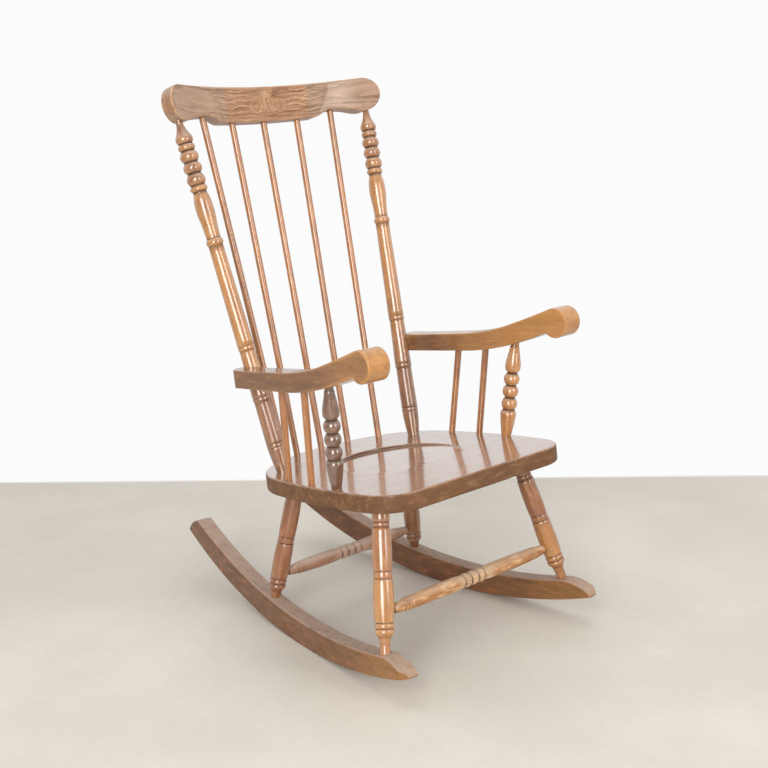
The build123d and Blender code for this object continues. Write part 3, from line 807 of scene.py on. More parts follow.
@dataclass(frozen=True)
class WoodFinish:
    """Stained, varnished and worn wood."""

    name: str
    slot: str
    late: Colour
    early: Colour
    # Colour of bare, thin and scratched wood, also used for the painted highlights on carved ridges and bead
    # crowns.
    rubbed: Colour
    second_late: Colour
    second_early: Colour
    # Colour of pores, dark mottling, grime, and the painted shade in hollows.
    soil: Colour = (66, 41, 26)
    dust: Colour = (190, 174, 156)
    mottle: float = 0.6
    ring_width: float = 0.0042
    wander: float = 0.014
    ring_share: float = 0.6
    streak_share: float = 0.5
    fibre_share: float = 0.35
    cloud_share: float = 0.7
    pore_share: float = 0.45
    wear: float = 0.5
    # Strength of the grime and painted shade in hollows.
    dirt: float = 0.8
    dusting: float = 0.25
    scratches: float = 0.4
    gloss: float = 0.28
    matt: float = 0.5
    coat: float = 0.35
    coat_roughness: float = 0.16
    coat_index: float = 1.7
    index: float = 1.46
    second_matt: float = 0.0
    bump: float = 0.25
    bump_height: float = 0.0012

    def material(self, figure: bpy.types.NodeTree, age: bpy.types.NodeTree) -> bpy.types.Material:
        """Build the finish.

        Args:
            figure: the wood figure group.
            age: the surface age group.

        Returns:
            The material.
        """
        made = bpy.data.materials.new(self.name)
        g = bare(made)
        grain = g.add("ShaderNodeAttribute", attribute_name="grain").outputs["Vector"]
        ageing = g.add("ShaderNodeAttribute", attribute_name="age").outputs["Vector"]
        exposed, hollow, second = g.add("ShaderNodeSeparateXYZ", {0: ageing}).outputs
        log = {"Grain": grain, "Ring Width": self.ring_width, "Wander": self.wander}
        wood = g.add("ShaderNodeGroup", log, node_tree=figure).outputs
        marks = {
            "Grain": grain,
            "Exposed": exposed,
            "Hollow": hollow,
            "Wear": self.wear,
            "Dirt": self.dirt,
            "Dust": self.dusting,
            "Scratches": self.scratches,
        }
        old = g.add("ShaderNodeGroup", marks, node_tree=age).outputs
        values = {
            "Base Color": self.colour(g, wood, old, second),
            "Roughness": self.roughness(g, old, second),
            "Coat Weight": self.varnish(g, old, second),
            "Coat Roughness": self.coat_roughness,
            "Coat IOR": self.coat_index,
            "IOR": self.index,
            "Normal": self.texture(g, wood, old),
        }
        g.surface(values)
        return made

    def colour(self, g: Graph, wood: dict[str, Socket], old: dict[str, Socket], second: Socket) -> Socket:
        """Stain the figure, then rub, scratch and dust it; rubbed places include painted highlights on
        ridges, and hollows take grime with painted shade.

        Args:
            g: the material's graph.
            wood: outputs of the wood figure.
            old: outputs of the surface age.
            second: share of the second tone.

        Returns:
            The colour.
        """
        rubbed, soil = paint(self.rubbed), paint(self.soil)
        tone = g.math("MULTIPLY", wood["Streaks"], self.streak_share)
        tone = g.add_share(wood["Rings"], self.ring_share, tone)
        tone = g.add_share(g.less_half(wood["Fibres"]), self.fibre_share, tone)
        tone = g.add_share(g.less_half(wood["Clouds"]), self.cloud_share, tone, clamp=True)
        colour = g.blend(tone, paint(self.early), paint(self.late))
        other = g.blend(tone, paint(self.second_early), paint(self.second_late))
        turning = g.add_share(g.less_half(wood["Clouds"]), 1.1, second)
        colour = g.blend(g.step(turning, 0.08, 0.92), colour, other)
        thin = g.math("MULTIPLY", g.step(wood["Mottle"], 0.5, 0.74), self.mottle * 0.75)
        colour = g.blend(thin, colour, rubbed)
        thick = g.math("SUBTRACT", 1.0, g.step(wood["Mottle"], 0.3, 0.48))
        colour = g.blend(g.math("MULTIPLY", thick, self.mottle * 0.5), colour, soil)
        colour = g.blend(g.math("MULTIPLY", wood["Pores"], self.pore_share), colour, soil)
        # Bare wood where the varnish is rubbed through, also used for the painted highlights on carved
        # ridges and bead crowns.
        bared_and_highlit = g.blend(g.math("MULTIPLY", wood["Streaks"], 0.5), rubbed, paint(self.early))
        colour = g.blend(g.math("MULTIPLY", old["Worn"], 0.8), colour, bared_and_highlit)
        colour = g.blend(old["Scratched"], colour, rubbed)
        # Grime and painted shade in hollows.
        colour = g.blend(old["Soil And Shade"], colour, soil)
        return g.blend(old["Dusted"], colour, paint(self.dust))

    def roughness(self, g: Graph, old: dict[str, Socket], second: Socket) -> Socket:
        """Glossy where the surface is sound, and duller where it is worn, dusty or in hollows with grime and
        painted shade.

        Args:
            g: the material's graph.
            old: outputs of the surface age.
            second: share of the second tone.

        Returns:
            The roughness.
        """
        rough = g.add_share(g.step(old["Dull"], 0.3, 0.75), self.matt - self.gloss, self.gloss)
        rough = g.add_share(old["Worn"], 0.14, rough)
        rough = g.add_share(old["Dusted"], 0.5, rough)
        rough = g.add_share(second, self.second_matt, rough)
        return g.add_share(old["Soil And Shade"], 0.25, rough, clamp=True)

    def varnish(self, g: Graph, old: dict[str, Socket], second: Socket) -> Socket:
        """Clear varnish where it isn't worn off, dusty or in hollows with grime and painted shade.

        Args:
            g: the material's graph.
            old: outputs of the surface age.
            second: share of the second tone.

        Returns:
            The weight of the varnish.
        """
        coat = g.without(self.coat, old["Worn"])
        coat = g.without(coat, old["Dusted"])
        coat = g.without(coat, old["Soil And Shade"])
        return g.math("MULTIPLY", coat, g.add_share(second, -2.0 * self.second_matt, 1.0, clamp=True))

    def texture(self, g: Graph, wood: dict[str, Socket], old: dict[str, Socket]) -> Socket:
        """Raise fibres and rings, and sink pores, dents and scratches.

        Args:
            g: the material's graph.
            wood: outputs of the wood figure.
            old: outputs of the surface age.

        Returns:
            The normal.
        """
        height = g.math("MULTIPLY", wood["Pores"], -0.25)
        height = g.add_share(wood["Fibres"], 0.10, height)
        height = g.add_share(wood["Rings"], 0.12, height)
        height = g.add_share(old["Dents"], 1.4, height)
        height = g.add_share(old["Scratched"], -0.5, height)
        return g.bump(self.bump, self.bump_height, height)


@dataclass(frozen=True)
class SteelFinish:
    """Dull zinc-coated steel of the arm screws."""

    name: str = "dull zinc"
    colour: Colour = (150, 145, 138)
    tarnish: Colour = (82, 70, 58)
    metal: float = 0.9

    def material(self) -> bpy.types.Material:
        """Build the finish.

        Returns:
            The material.
        """
        made = bpy.data.materials.new(self.name)
        g = bare(made)
        place = g.add("ShaderNodeTexCoord").outputs["Object"]
        spots = g.step(g.noise(place, (420.0, 420.0, 420.0), 4.0, 0.6), 0.42, 0.68)
        turned = g.noise(place, (90.0, 90.0, 2600.0), 2.0)
        colour = g.blend(spots, paint(self.colour), paint(self.tarnish))
        rough = g.add_share(spots, 0.3, 0.34)
        bump = g.bump(0.3, 0.0002, turned)
        g.surface({"Base Color": colour, "Metallic": self.metal, "Roughness": rough, "Normal": bump})
        return made


SEAT_WOOD = WoodFinish(
    "seat varnish", "seat_wood", late=(124, 80, 54), early=(164, 120, 88), rubbed=(194, 146, 102),
    second_late=(66, 38, 20), second_early=(120, 80, 46), ring_width=0.0065, wander=0.03, ring_share=0.15,
    streak_share=0.5, wear=0.36, dusting=0.0, mottle=0.45, scratches=0.55, gloss=0.14, matt=0.3, coat=1.0,
    coat_roughness=0.1, coat_index=1.95, second_matt=0.45, bump=0.03,
)
CREST_WOOD = WoodFinish(
    "crest varnish", "crest_wood", late=(108, 76, 56), early=(182, 148, 122), rubbed=(220, 178, 138),
    second_late=(120, 78, 50), second_early=(184, 136, 98), ring_width=0.024, wander=0.2, ring_share=0.55,
    streak_share=0.3, wear=0.44, mottle=0.45, gloss=0.38, matt=0.62, coat=0.3, dusting=0.15, bump=0.12,
)
ARM_WOOD = WoodFinish(
    "arm varnish", "arm_wood", late=(74, 44, 24), early=(140, 92, 52), rubbed=(200, 144, 84),
    second_late=(140, 84, 36), second_early=(206, 150, 86), scratches=0.6, ring_width=0.0034, wander=0.01,
    ring_share=0.3, streak_share=0.6, wear=0.46, gloss=0.28, matt=0.46, coat=0.75, coat_roughness=0.1,
    dusting=0.0, mottle=0.5, bump=0.1,
)
POST_WOOD = WoodFinish(
    "post varnish", "post_wood", late=(144, 88, 42), early=(206, 144, 82), rubbed=(228, 176, 116),
    second_late=(104, 62, 38), second_early=(164, 108, 68), ring_share=0.35, wear=0.4, gloss=0.26,
    matt=0.4, coat=1.0, coat_roughness=0.26, coat_index=2.05, bump=0.09,
)
ARM_POST_WOOD = WoodFinish(
    "arm post varnish", "post_wood", late=(78, 52, 38), early=(126, 88, 66), rubbed=(170, 124, 92),
    second_late=(150, 100, 62), second_early=(188, 136, 94), ring_share=0.35, wear=0.36, gloss=0.24,
    matt=0.38, coat=1.0, coat_roughness=0.24, coat_index=2.0, bump=0.08,
)
SPINDLE_WOOD = WoodFinish(
    "spindle varnish", "spindle_wood", late=(112, 62, 28), early=(192, 124, 64), rubbed=(226, 170, 106),
    second_late=(120, 84, 62), second_early=(160, 120, 94), ring_width=0.003, wander=0.006,
    ring_share=0.35, wear=0.36, gloss=0.26, matt=0.38, coat=1.0, coat_roughness=0.22, coat_index=1.9,
    bump=0.06,
)
LEG_WOOD = WoodFinish(
    "leg varnish", "leg_wood", late=(132, 76, 42), early=(188, 126, 78), rubbed=(216, 160, 100),
    second_late=(146, 90, 42), second_early=(206, 146, 80), ring_share=0.25, streak_share=0.45, wear=0.4,
    gloss=0.26, matt=0.42, coat=0.9, coat_roughness=0.24, coat_index=2.05, dusting=0.15, bump=0.08,
)
# A darker copy of the leg finish: painted shade on the right legs and the rear left leg.
SHADED_LEG_WOOD = WoodFinish(
    "shaded leg varnish", "leg_wood", late=(96, 52, 26), early=(160, 98, 52), rubbed=(198, 134, 78),
    second_late=(126, 76, 34), second_early=(194, 132, 66), mottle=0.75, ring_share=0.3,
    streak_share=0.45, wear=0.4, gloss=0.28, matt=0.46, coat=0.8, coat_roughness=0.24, coat_index=2.0,
    dusting=0.1, bump=0.1,
)
STRETCHER_WOOD = WoodFinish(
    "stretcher varnish", "stretcher_wood", late=(108, 62, 28), early=(192, 132, 74),
    rubbed=(238, 202, 156), second_late=(140, 96, 62), second_early=(212, 174, 134), dust=(220, 192, 162),
    ring_share=0.3, wear=0.7, mottle=1.25, gloss=0.3, matt=0.55, coat=0.4, dusting=0.5, bump=0.12,
)
REAR_STRETCHER_WOOD = WoodFinish(
    "dusty stretcher varnish", "stretcher_wood", late=(120, 80, 58), early=(178, 134, 106),
    rubbed=(208, 164, 128), second_late=(142, 108, 86), second_early=(194, 160, 136),
    dust=(212, 188, 170), ring_share=0.3, wear=0.5, gloss=0.4, matt=0.66, coat=0.2, dusting=0.85,
    bump=0.12,
)
ROCKER_WOOD = WoodFinish(
    "rocker varnish", "rocker_wood", late=(68, 40, 24), early=(126, 84, 52), rubbed=(180, 106, 60),
    second_late=(80, 48, 20), second_early=(166, 118, 62), dust=(180, 158, 142), scratches=0.6,
    ring_width=0.005, wander=0.012, ring_share=0.3, wear=0.5, mottle=0.95, gloss=0.34, matt=0.6, coat=0.3,
    dusting=0.8, bump=0.14,
)


class Workshop:
    """Turns shapes into finished pieces of the chair."""

    def __init__(self) -> None:
        """Build the shared shader groups."""
        self.figure = build_figure_group()
        self.age = build_age_group()
        self.made: dict[str, bpy.types.Material] = {}

    def finish(self, wood: WoodFinish) -> bpy.types.Material:
        """The material of a finish, built at its first use.

        Args:
            wood: the finish.

        Returns:
            Its material.
        """
        if wood.name not in self.made:
            self.made[wood.name] = wood.material(self.figure, self.age)
        return self.made[wood.name]

    def fit(self, node: str, shape: Shape, wood: WoodFinish) -> None:
        """Make the piece that stands for a node.

        Args:
            node: the node's name.
            shape: the piece's shape, in millimetres.
            wood: its finish.
        """
        name = node + "_wood"
        mesh = bpy.data.meshes.new(name)
        mesh.from_pydata((shape.points * METRES).tolist(), [], shape.faces)
        for label, values in (("grain", shape.grain), ("age", shape.age)):
            attribute = mesh.attributes.new(label, "FLOAT_VECTOR", "POINT")
            attribute.data.foreach_set("vector", values.astype(np.float32).ravel())
        tidy_mesh(mesh)
        piece = bpy.data.objects.new(name, mesh)
        bpy.context.scene.collection.objects.link(piece)
        mesh.materials.append(self.finish(wood))
        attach(piece, BODY)
        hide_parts(node)
        LOG.info("%s: %d faces", name, len(mesh.polygons))

    def pair(
        self,
        node: str,
        right: Shape,
        wood: WoodFinish,
        left_wood: WoodFinish | None = None,
        log_shift: float = 0.31,
    ) -> None:
        """Make a piece on the right and its mirror image on the left.

        Args:
            node: the nodes' name, with braces where the side stands.
            right: the right piece's shape.
            wood: its finish.
            left_wood: the left piece's finish where it differs.
            log_shift: how much further along the log the left piece is cut, in metres.
        """
        self.fit(node.format("right"), right, wood)
        self.fit(node.format("left"), mirrored(right, log_shift), left_wood or wood)


def tidy_mesh(mesh: bpy.types.Mesh) -> None:
    """Weld doubled points, drop empty faces, turn all faces outwards and shade them smooth.

    Args:
        mesh: the mesh to tidy.
    """
    work = bmesh.new()
    work.from_mesh(mesh)
    bmesh.ops.remove_doubles(work, verts=work.verts, dist=WELD)
    bmesh.ops.dissolve_degenerate(work, edges=work.edges, dist=SLIVER)
    bmesh.ops.recalc_face_normals(work, faces=work.faces)
    for face in work.faces:
        face.smooth = True
    work.to_mesh(mesh)
    work.free()
    mesh.validate()
    mesh.update()


def mirrored(shape: Shape, log_shift: float = 0.31) -> Shape:
    """The same piece for the other side, cut from further along the log.

    Args:
        shape: the piece on the right.
        log_shift: how much further along, in metres.

    Returns:
        The piece on the left.
    """
    flip = np.array([-1.0, 1.0, 1.0])
    shift = np.array([log_shift, 0.007, -0.011])
    return Shape(shape.points * flip, [face[::-1] for face in shape.faces], shape.grain + shift, shape.age)


# ---------------------------------------------------------------- seat
@dataclass
class Seat:
    """The shaped plank with its shallow round dish.

    The corners are shares of the half width and of the depth behind the front edge.
    """

    width: float = 2 * SEAT_HALF
    depth: float = SEAT_DEPTH
    thickness: float = 35.0
    front_share: float = 0.687
    corners: Stations = ((0.669, 0.0), (0.982, 0.1355), (0.945, 0.694), (0.598, 0.9275))
    pitch: float = 3.0
    front_points: int = 60
    top_round: float = 4.0
    bottom_round: float = 5.0
    dish_radius: float = 131.0
    dish_centre: float = -109.0
    dish_depth: float = 6.0
    dish_tilt: float = math.radians(1.5)
    dish_fillet: float = 2.4
    spokes: int = 360
    log: Triple = (2.3, 0.42, 0.16)

    @property
    def front(self) -> float:
        """Place of the front edge."""
        return -self.front_share * self.depth

    def outline(self) -> np.ndarray:
        """Run tangent arcs from corner to corner.

        Returns:
            Edge of the plank, as a closed ring of (x, v) points.
        """
        half = self.width / 2
        knots = [np.array([x * half, self.front + v * self.depth]) for x, v in self.corners]
        heading = np.array([1.0, 0.0])
        flank = []
        for start, end in zip(knots[:-1], knots[1:]):
            points, heading = tangent_arc(start, heading, end, self.pitch)
            flank.append(points[:-1])
        back, _ = tangent_arc(knots[-1], heading, knots[-1] * (-1, 1), self.pitch)
        right = np.vstack(flank + [back[: len(back) // 2 + 1]])
        count = self.front_points
        front = np.column_stack([np.linspace(-knots[0][0], knots[0][0], count), np.full(count, self.front)])
        return np.vstack([right, (right[::-1] * (-1, 1))[1:], front[1:]])

    def ring(self) -> Pair:
        """Look at the edge from the dish's middle, at even angles.

        Returns:
            The edge points from that middle, and their inward normals.
        """
        edge = self.outline() - (0, self.dish_centre)
        angle = np.unwrap(np.arctan2(edge[:, 1], edge[:, 0]))
        radius = np.linalg.norm(edge, axis=1)
        turns = np.linspace(angle[0], angle[0] + 2 * math.pi, self.spokes, endpoint=False)
        spoke = np.interp(turns, angle, radius)
        ring = np.column_stack([spoke * np.cos(turns), spoke * np.sin(turns)])
        along = np.roll(ring, -1, axis=0) - np.roll(ring, 1, axis=0)
        inward = np.column_stack([-along[:, 1], along[:, 0]])
        return ring, inward / np.linalg.norm(inward, axis=1)[:, None]

    def dish_floor(self, v: np.ndarray) -> np.ndarray:
        """Depth of the dish's floor, which runs out towards the front."""
        rear = self.dish_centre + self.dish_radius
        return np.maximum(self.dish_depth - (rear - v) * math.tan(self.dish_tilt), 0.0)

    def edge_bands(self, ring: np.ndarray, inward: np.ndarray) -> Bands:
        """Go from the underside's middle round the plank's edge.

        Args:
            ring: edge points from the dish's middle.
            inward: their inward normals.

        Yields:
            Places, height, exposed share, hollow share and tone of each band.
        """
        low, bottom, top = -self.thickness, self.bottom_round, self.top_round
        quarter = math.pi / 2
        for share in np.linspace(0.02, 0.97, 16):
            yield (ring + inward * bottom) * share, low, 0.0, 0.0, 1.0
        for angle in np.linspace(0, quarter, 6):
            inset = bottom * (1 - math.sin(angle))
            yield ring + inward * inset, low + bottom * (1 - math.cos(angle)), 0.35, 0.0, 1.0
        for height in np.linspace(low + bottom, -top, 7)[1:-1]:
            yield ring, height, 0.2, 0.0, 1.0
        for angle in np.linspace(0, quarter, 7):
            inset = top * (1 - math.cos(angle))
            yield ring + inward * inset, -top * (1 - math.sin(angle)), 0.7, 0.0, math.cos(angle) ** 2

    def dish_bands(self, ring: np.ndarray, inward: np.ndarray) -> Bands:
        """Go from the plank's upper edge over the top and into the dish.

        Args:
            ring: edge points from the dish's middle.
            inward: their inward normals.

        Yields:
            Places, height, exposed share, hollow share and tone of each band.
        """
        outward = ring / np.linalg.norm(ring, axis=1)[:, None]
        rim = ring + inward * self.top_round
        dish = outward * self.dish_radius
        for share in (0.03, 0.08, 0.16, 0.28, 0.42, 0.56, 0.7, 0.82, 0.91, 0.965):
            yield rim + (dish - rim) * share, 0.0, 0.55 * math.exp(-share * 30), 0.0, 0.0
        step = self.dish_fillet
        depth = self.dish_floor(dish[:, 1] + self.dish_centre)
        share = np.minimum(depth / self.dish_depth, 1.0)
        yield dish + outward * step * 0.5, 0.0, 0.25 * share, 0.0, 0.0
        yield dish + outward * step * 0.2, -0.06 * depth, 0.5 * share, 0.0, 0.0
        # The step into the dish takes a hollow share: grime with painted shade.
        yield dish, -0.22 * depth, 0.4 * share, 0.4 * share, 0.0
        for run, fall in ((0.25, 0.55), (0.5, 0.8), (0.85, 0.93), (1.4, 1.0)):
            place = dish - outward * step * run
            floor = self.dish_floor(place[:, 1] + self.dish_centre)
            yield place, -fall * floor, 0.0, (1.25 - fall) * share * 1.6, 0.0
        for radius in np.linspace(self.dish_radius - step * 2.4, 2.5, 34):
            place = outward * radius
            yield place, -self.dish_floor(place[:, 1] + self.dish_centre), 0.0, 0.0, 0.0

    def shape(self) -> Shape:
        """Build the plank.

        Returns:
            The closed plank.
        """
        ring = self.ring()
        rows, heights, age = [], [], []
        for places, height, wear_and_highlight, dark, tone in (*self.edge_bands(*ring), *self.dish_bands(*ring)):
            rows.append(places)
            heights.append(np.broadcast_to(height, len(places)).astype(float))
            age.append(aged(np.broadcast_to(wear_and_highlight, len(places)), dark, tone))
        flat = np.vstack(rows) + (0, self.dish_centre)
        height = np.concatenate(heights)
        low, middle = -self.thickness, self.dish_centre
        floor = float(self.dish_floor(np.array([middle]))[0])
        ends = [SEAT.point(0.0, middle, low), SEAT.point(0.0, middle, -floor)]
        grain = np.column_stack([flat[:, 0], flat[:, 1] * 0.98, height])
        grain = np.vstack([grain, [(0, middle, low), (0, middle, 0)]])
        return Shape(
            np.vstack([SEAT.point(flat[:, 0], flat[:, 1], height), *ends]),
            capped_faces(len(rows), self.spokes),
            grain * METRES + np.array(self.log),
            np.vstack(age + [aged(np.zeros(2))]),
        )

    def build(self, shop: Workshop) -> None:
        """Make the seat."""
        shop.fit("seat", self.shape(), SEAT_WOOD)


# ---------------------------------------------------------------- crest rail
@dataclass(frozen=True)
class Stroke:
    """One carved line or leaf: (x, h) knots, widest half width and rise in mm."""

    knots: Stations
    width: float
    rise: float

    def height(self, places: np.ndarray) -> np.ndarray:
        """Stand up from the ground, tapering to both ends.

        Args:
            places: (x, h) points on the face.

        Returns:
            How far the stroke stands up at each of them.
        """
        path = sweep_curve(np.array(self.knots, float), 6)
        gap, share = distance_to_path(places, path)
        width = self.width * (0.45 + 0.8 * np.sin(np.clip(share, 0, 1) * math.pi) ** 0.6)
        return self.rise * np.clip(1 - (gap / width) ** 2, 0, 1)


VOLUTE = Stroke(((15, 63), (8, 52), (6, 38), (9, 22), (18, 8)), 1.9, 2.0)
ROSETTE = Stroke(((27, 28), (33, 28)), 6.0, 1.1)
LEAVES = (
    Stroke(((18, 60), (46, 64), (78, 58), (112, 62), (154, 60)), 2.2, 1.8),
    Stroke(((40, 50), (72, 51), (104, 48), (148, 52)), 2.6, 1.6),
    Stroke(((48, 38), (76, 41), (106, 36), (142, 40)), 3.0, 1.7),
    Stroke(((47, 27), (74, 29), (104, 22), (134, 26)), 2.8, 1.7),
    Stroke(((44, 15), (72, 16), (100, 11), (128, 14)), 2.5, 1.5),
    Stroke(((26, 7), (60, 6), (92, 5), (122, 5)), 2.2, 1.4),
    Stroke(((157, 62), (146, 38), (131, 15), (122, 3)), 2.2, 1.6),
)


@dataclass
class CrestRail:
    """The curved top rail, with a carved field between its rounded ears."""

    radius: float = 612.0
    thickness: float = 37.0
    top: float = 70.0
    ear_radius: float = 37.0
    ear_x: float = 239.5
    lean: float = math.radians(6.5)
    set_back: float = 216.7
    height: float = 727.4
    tablet_half: float = 122.0
    tablet_drop: float = 4.6
    waist: float = 9.0
    waist_x: float = 162.0
    arris: float = 3.4
    field_depth: float = 1.5
    field_centre: float = 7.0
    field_slope: float = 2.2
    groove_width: float = 1.6
    groove_depth: float = 0.7
    carved_range: tuple[float, float] = (-0.35, 3.0)
    edge_fade: float = 2.5
    field_corners: Stations = ((-158, 63), (158, 63), (128, 3), (-128, 3))
    fine_half: float = 172.0
    fine_ribs: int = 345
    side_ribs: int = 24
    ear_ribs: int = 18
    edge_rows: tuple[float, ...] = (4.5, 9.0, 18.5, 28.0, 32.5)
    log: Triple = (3.1, 0.05, 0.021)
    tone: Stations = ((-276, 1.0), (-268, 0.3), (-255, 0.0), (-120, 0.0), (-98, 0.8), (98, 0.8), (120, 0.0))

    def place(self, x: np.ndarray, h: np.ndarray, depth: np.ndarray) -> np.ndarray:
        """Bend the flat rail to its plan curve and lean it back.

        Args:
            x: place along the rail.
            h: height in the rail.
            depth: distance behind the front face.

        Returns:
            Points in millimetres.
        """
        front = self.radius - self.thickness / 2
        forward = self.radius - np.sqrt((front + depth) ** 2 - np.asarray(x) ** 2)
        c, s = math.cos(self.lean), math.sin(self.lean)
        return SEAT.point(x, self.set_back + h * s - forward * c, self.height + h * c + forward * s)

    def lower_edge(self, x: np.ndarray) -> np.ndarray:
        """Follow the tablet, the waist and the run to the ears.

        Args:
            x: places along the rail.

        Returns:
            Height of the rail's lower edge between the ears.
        """
        x = np.abs(x)
        knots = [
            (self.waist_x, self.waist),
            (0.5 * (self.waist_x + self.ear_x), 0.62 * self.waist),
            (self.ear_x, self.top - 2 * self.ear_radius),
        ]
        curve = sweep_curve(np.array(knots), 12, (1, 0), (1, -0.02))
        outer = np.interp(x, curve[:, 0], curve[:, 1])
        share = np.clip((x - self.tablet_half) / (self.waist_x - self.tablet_half), 0, 1)
        inner = -self.tablet_drop + (self.waist + self.tablet_drop) * share**2 * (3 - 2 * share)
        return np.where(x < self.waist_x, inner, outer)

    def rails(self) -> Pair:
        """Space the ribs finely over the carving and coarsely beside it.

        Returns:
            Lower and upper edge of the rail, matched rib by rib.
        """
        ear, fine = self.ear_x, self.fine_half
        x = np.concatenate([
            np.linspace(-ear, -fine, self.side_ribs)[:-1],
            np.linspace(-fine, fine, self.fine_ribs),
            np.linspace(fine, ear, self.side_ribs)[1:],
        ])
        edges = []
        for turn, height in ((270, self.lower_edge(x)), (90, np.full(len(x), self.top))):
            centre = (-ear, self.top - self.ear_radius)
            left = arc(centre, self.ear_radius, 180, turn, self.ear_ribs)[:-1]
            edges.append(np.vstack([left, np.column_stack([x, height]), left[::-1] * (-1, 1)]))
        return edges[0], edges[1]

    def strokes(self) -> list[Stroke]:
        """Draw the right half of the fan, volutes, leaves and shells, and mirror it.

        Returns:
            All the strokes of the ornament.
        """
        half = [VOLUTE, ROSETTE, *LEAVES]
        for angle in map(math.radians, (12, 32, 54)):
            tip = (25 * math.sin(angle), 42 + 23 * math.cos(angle))
            half.append(Stroke(((3 * math.sin(angle), 44), tip), 2.8, 1.8))
        turns = [math.radians(a) for a in range(60, -260, -40)]
        half.append(Stroke(tuple((30 + 15 * math.cos(a), 28 + 15 * math.sin(a)) for a in turns), 1.9, 2.0))
        for lift in (0, 7, 14, 21):
            knots = ((84, 24 + lift), (96, 28 + 1.1 * lift), (110, 25 + 1.35 * lift))
            half.append(Stroke(knots, 1.5, 2.0))
        both = []
        for stroke in half:
            for side in Side:
                knots = tuple((self.field_centre + side.value * x, h) for x, h in stroke.knots)
                both.append(Stroke(knots, stroke.width, stroke.rise))
        for low, high, width, rise in ((43, 67, 3.2, 1.8), (38, 12, 3.4, 0.9)):
            both.append(Stroke(((self.field_centre, low), (self.field_centre, high)), width, rise))
        return both

    def relief(self, places: np.ndarray, inset: np.ndarray) -> tuple[np.ndarray, np.ndarray, np.ndarray]:
        """Depth of the carving below the front face.

        Args:
            places: (x, h) points on the face.
            inset: their distance from the outline.

        Returns:
            Depth in mm, the exposed share, which puts painted highlights along the strokes' ridges, and the
            hollow share, which puts grime and painted shade at their feet and in the groove round the field.
        """
        corners = np.array(self.field_corners, float) + (self.field_centre * 0.6, 0)
        border, _ = distance_to_path(places, np.vstack([corners, corners[:1]]))
        x, h = places[:, 0], places[:, 1]
        bottom, top = corners[3, 1], corners[0, 1]
        left = np.interp(h, [bottom, top], [corners[3, 0], corners[0, 0]])
        right = np.interp(h, [bottom, top], [corners[2, 0], corners[1, 0]])
        inside = (x > left) & (x < right) & (h > bottom) & (h < top)
        ground = smooth(np.where(inside, np.clip(border / self.field_slope, 0, 1), 0.0))
        lines = np.zeros(len(places))
        near = np.abs(x) < self.fine_half
        for stroke in self.strokes():
            lines[near] = np.maximum(lines[near], stroke.height(places[near]))
        groove = np.clip(1 - border / self.groove_width, 0, 1) * self.groove_depth
        depth = ground * self.field_depth - lines * np.maximum(ground, 0.25) + groove
        depth = np.clip(depth, *self.carved_range) * np.clip(inset / self.edge_fade, 0, 1)
        # Painted highlight along the ridges of the strokes, over the field's ground.
        wear_and_highlight = np.clip((lines - 0.8) / 0.7, 0.4, 1) * np.maximum(ground, 0.3)
        # Painted shade with grime at the feet of the strokes and in the groove round the field.
        foot = np.clip(1 - np.abs(lines - 0.2) / 0.35, 0, 1)
        dark = ground * np.where(lines > 0, foot * 0.75, 0.12) + groove * 0.6
        return depth, wear_and_highlight * 0.9, np.clip(dark, 0, 1)

    def build(self, shop: Workshop) -> None:
        """Make the crest rail."""
        board = Board(*self.rails(), self.thickness, self.arris, 64, self.edge_rows, self.log, self.tone)
        shop.fit("crest_rail", board.shape(self.place, self.relief), CREST_WOOD)


# ---------------------------------------------------------------- back
def reach(foot: np.ndarray, head: np.ndarray) -> float:
    """Length of a stick from its foot to its head."""
    return float(np.linalg.norm(head - foot))


